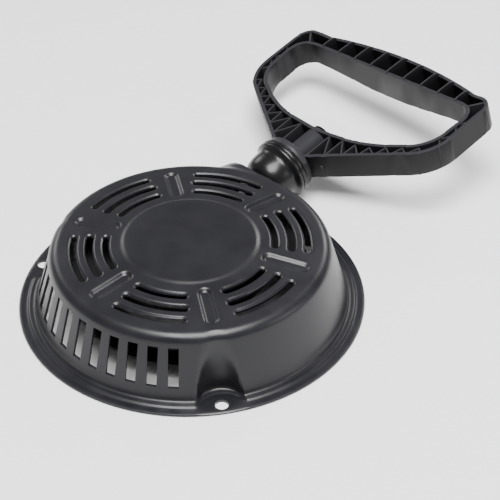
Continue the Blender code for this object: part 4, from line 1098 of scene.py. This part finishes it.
# The knot sits in a round pocket cut into the hub. The web ribs overlap the web as separate solids,
# and this cut drops some of them: which ones stay can change from run to run.
pocket = bmesh.new()
bmesh.ops.create_cone(pocket, cap_ends=True, segments=40, radius1=POCKET_R * MM, radius2=POCKET_R * MM,
                      depth=POCKET_DEEP * MM)
bmesh.ops.translate(pocket, verts=pocket.verts, vec=(knot_xy + Vector((0, 0, 10.5))) * MM)
cut_out(reel_piece, finish_piece("knot_pocket", pocket, reel_nylon, None))
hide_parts("rope_reel")

# %% Spring cover
lid_under = [(9.6, 32.3), (14.0, 32.3), (16.0, 31.9), (38.0, 31.9), (40.0, 32.3), (44.8, 32.3), (44.8, 28.3)]
lid_over = [(45.8, 28.3), (45.8, 33.3), (39.6, 33.3), (37.6, 32.9), (16.4, 32.9), (14.4, 33.3), (9.6, 33.3)]
cover_low, cover_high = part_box("spring_cover")
print("cover height by the frame, mm:", round(cover_low[2] / MM, 2), round(cover_high[2] / MM, 2))
lid = soften(spun(lid_under + lid_over, 128), 0.25, 60.0)
# The lid takes the dark blued finish instead of zinc: its darkness is painted shade for the inside of the
# case under the slots.
cover_piece = finish_piece("spring_lid", lid, blued_steel_and_lid_shade, "reel")
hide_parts("spring_cover")

# %% [markdown]
# ## Small hardware
# The frame's own solids already have the right shape for pawls, pins, washers and springs, but
# their edges are sharp and their round sides are flat strips. A copy of each is merged, its flat
# triangles are dissolved into whole faces, its edges get a small bevel, and it is shaded smooth.
# The springs are wire and strip with no edge to bevel, so they are only merged and shaded.

# %% Small hardware
def dressed_copy(node, name, material, body, bevel):
    """A copy of a frame solid with merged points, smooth shading and, unless bevel is 0, soft edges."""
    bm = bmesh.new()
    bm.from_mesh(frame["nodes"][node].data)
    bmesh.ops.remove_doubles(bm, verts=bm.verts, dist=0.002 * MM)
    if bevel:
        bmesh.ops.dissolve_limit(bm, angle_limit=math.radians(1.5), verts=bm.verts, edges=bm.edges,
                                 use_dissolve_boundaries=False)
        soften(bm, bevel, 55.0)
    piece = finish_piece(name, bm, material, body, crisp=34)
    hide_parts(node)


BEVELS = {"pawl_a": 0.25, "pawl_b": 0.25, "pawl_pin_a": 0.3, "pawl_pin_b": 0.3, "pawl_guide": 0.25,
          "centre_post": 0.25, "centre_screw": 0.3, "thrust_washer": 0.15, "reel_bush": 0.2,
          "outlet_lock_ring": 0.3, "rope_eyelet": 0.2, "knot_washer": 0.15, "pawl_spring_a": 0.0,
          "pawl_spring_b": 0.0, "friction_spring": 0.0, "rewind_spring": 0.0}
METALS = {"steel": oiled_steel, "zinc": zinc_plate, "spring_steel": blued_steel_and_lid_shade, "bronze": bronze}
slot_of = {row["node"]: row["material_slot"] for row in frame["record"]["subparts"]}
for node, bevel in BEVELS.items():
    slot = slot_of[node]
    dressed_copy(node, f"{node}_dressed", METALS[slot], frame["nodes"][node]["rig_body"], bevel)

# %% [markdown]
# ## The studio
# A black product needs light that it can reflect, or its shape is lost. One soft overhead light draws
# a bright line along the case's shoulder, three low ones round it shape the walls, and a dim even
# world fills the rest.

# %% Studio
FLOOR_HALF, FLOOR_DROP = 3.0, -0.2
AIM = Vector((0, 0.05, 0.02))
floor = bmesh.new()
bmesh.ops.create_grid(floor, x_segments=1, y_segments=1, size=FLOOR_HALF)
bmesh.ops.translate(floor, verts=floor.verts, vec=(0, 0, FLOOR_DROP * MM))
floor_finish = grained_finish("paper_floor", (0.93, 0.93, 0.93), 0.9, 2.0, 8.0, lighter=1.01)
floor_piece = finish_piece("paper_floor", floor, floor_finish, None)

world = bpy.data.worlds.new("studio_world")
bpy.context.scene.world = world
world.use_nodes = True
background = world.node_tree.nodes["Background"]
background.inputs["Color"].default_value = (1, 1, 1, 1)
background.inputs["Strength"].default_value = 0.32


def softbox(name, place, size, power):
    """A rectangular area light that is aimed at the starter."""
    data = bpy.data.lights.new(name, "AREA")
    data.shape = "RECTANGLE"
    data.size, data.size_y = size
    data.energy = power
    lamp = bpy.data.objects.new(name, data)
    bpy.context.scene.collection.objects.link(lamp)
    lamp.location = place
    lamp.rotation_euler = (AIM - Vector(place)).to_track_quat("-Z", "Y").to_euler()


softbox("overhead_softbox", (0.25, -0.15, 1.25), (0.75, 0.75), 42.0)
softbox("left_softbox", (-1.05, 0.15, 0.5), (0.35, 0.35), 2.4)
softbox("back_softbox", (-0.3, 1.05, 0.58), (0.35, 0.35), 3.5)
softbox("right_softbox", (1.0, 0.6, 0.5), (0.5, 0.4), 2.5)
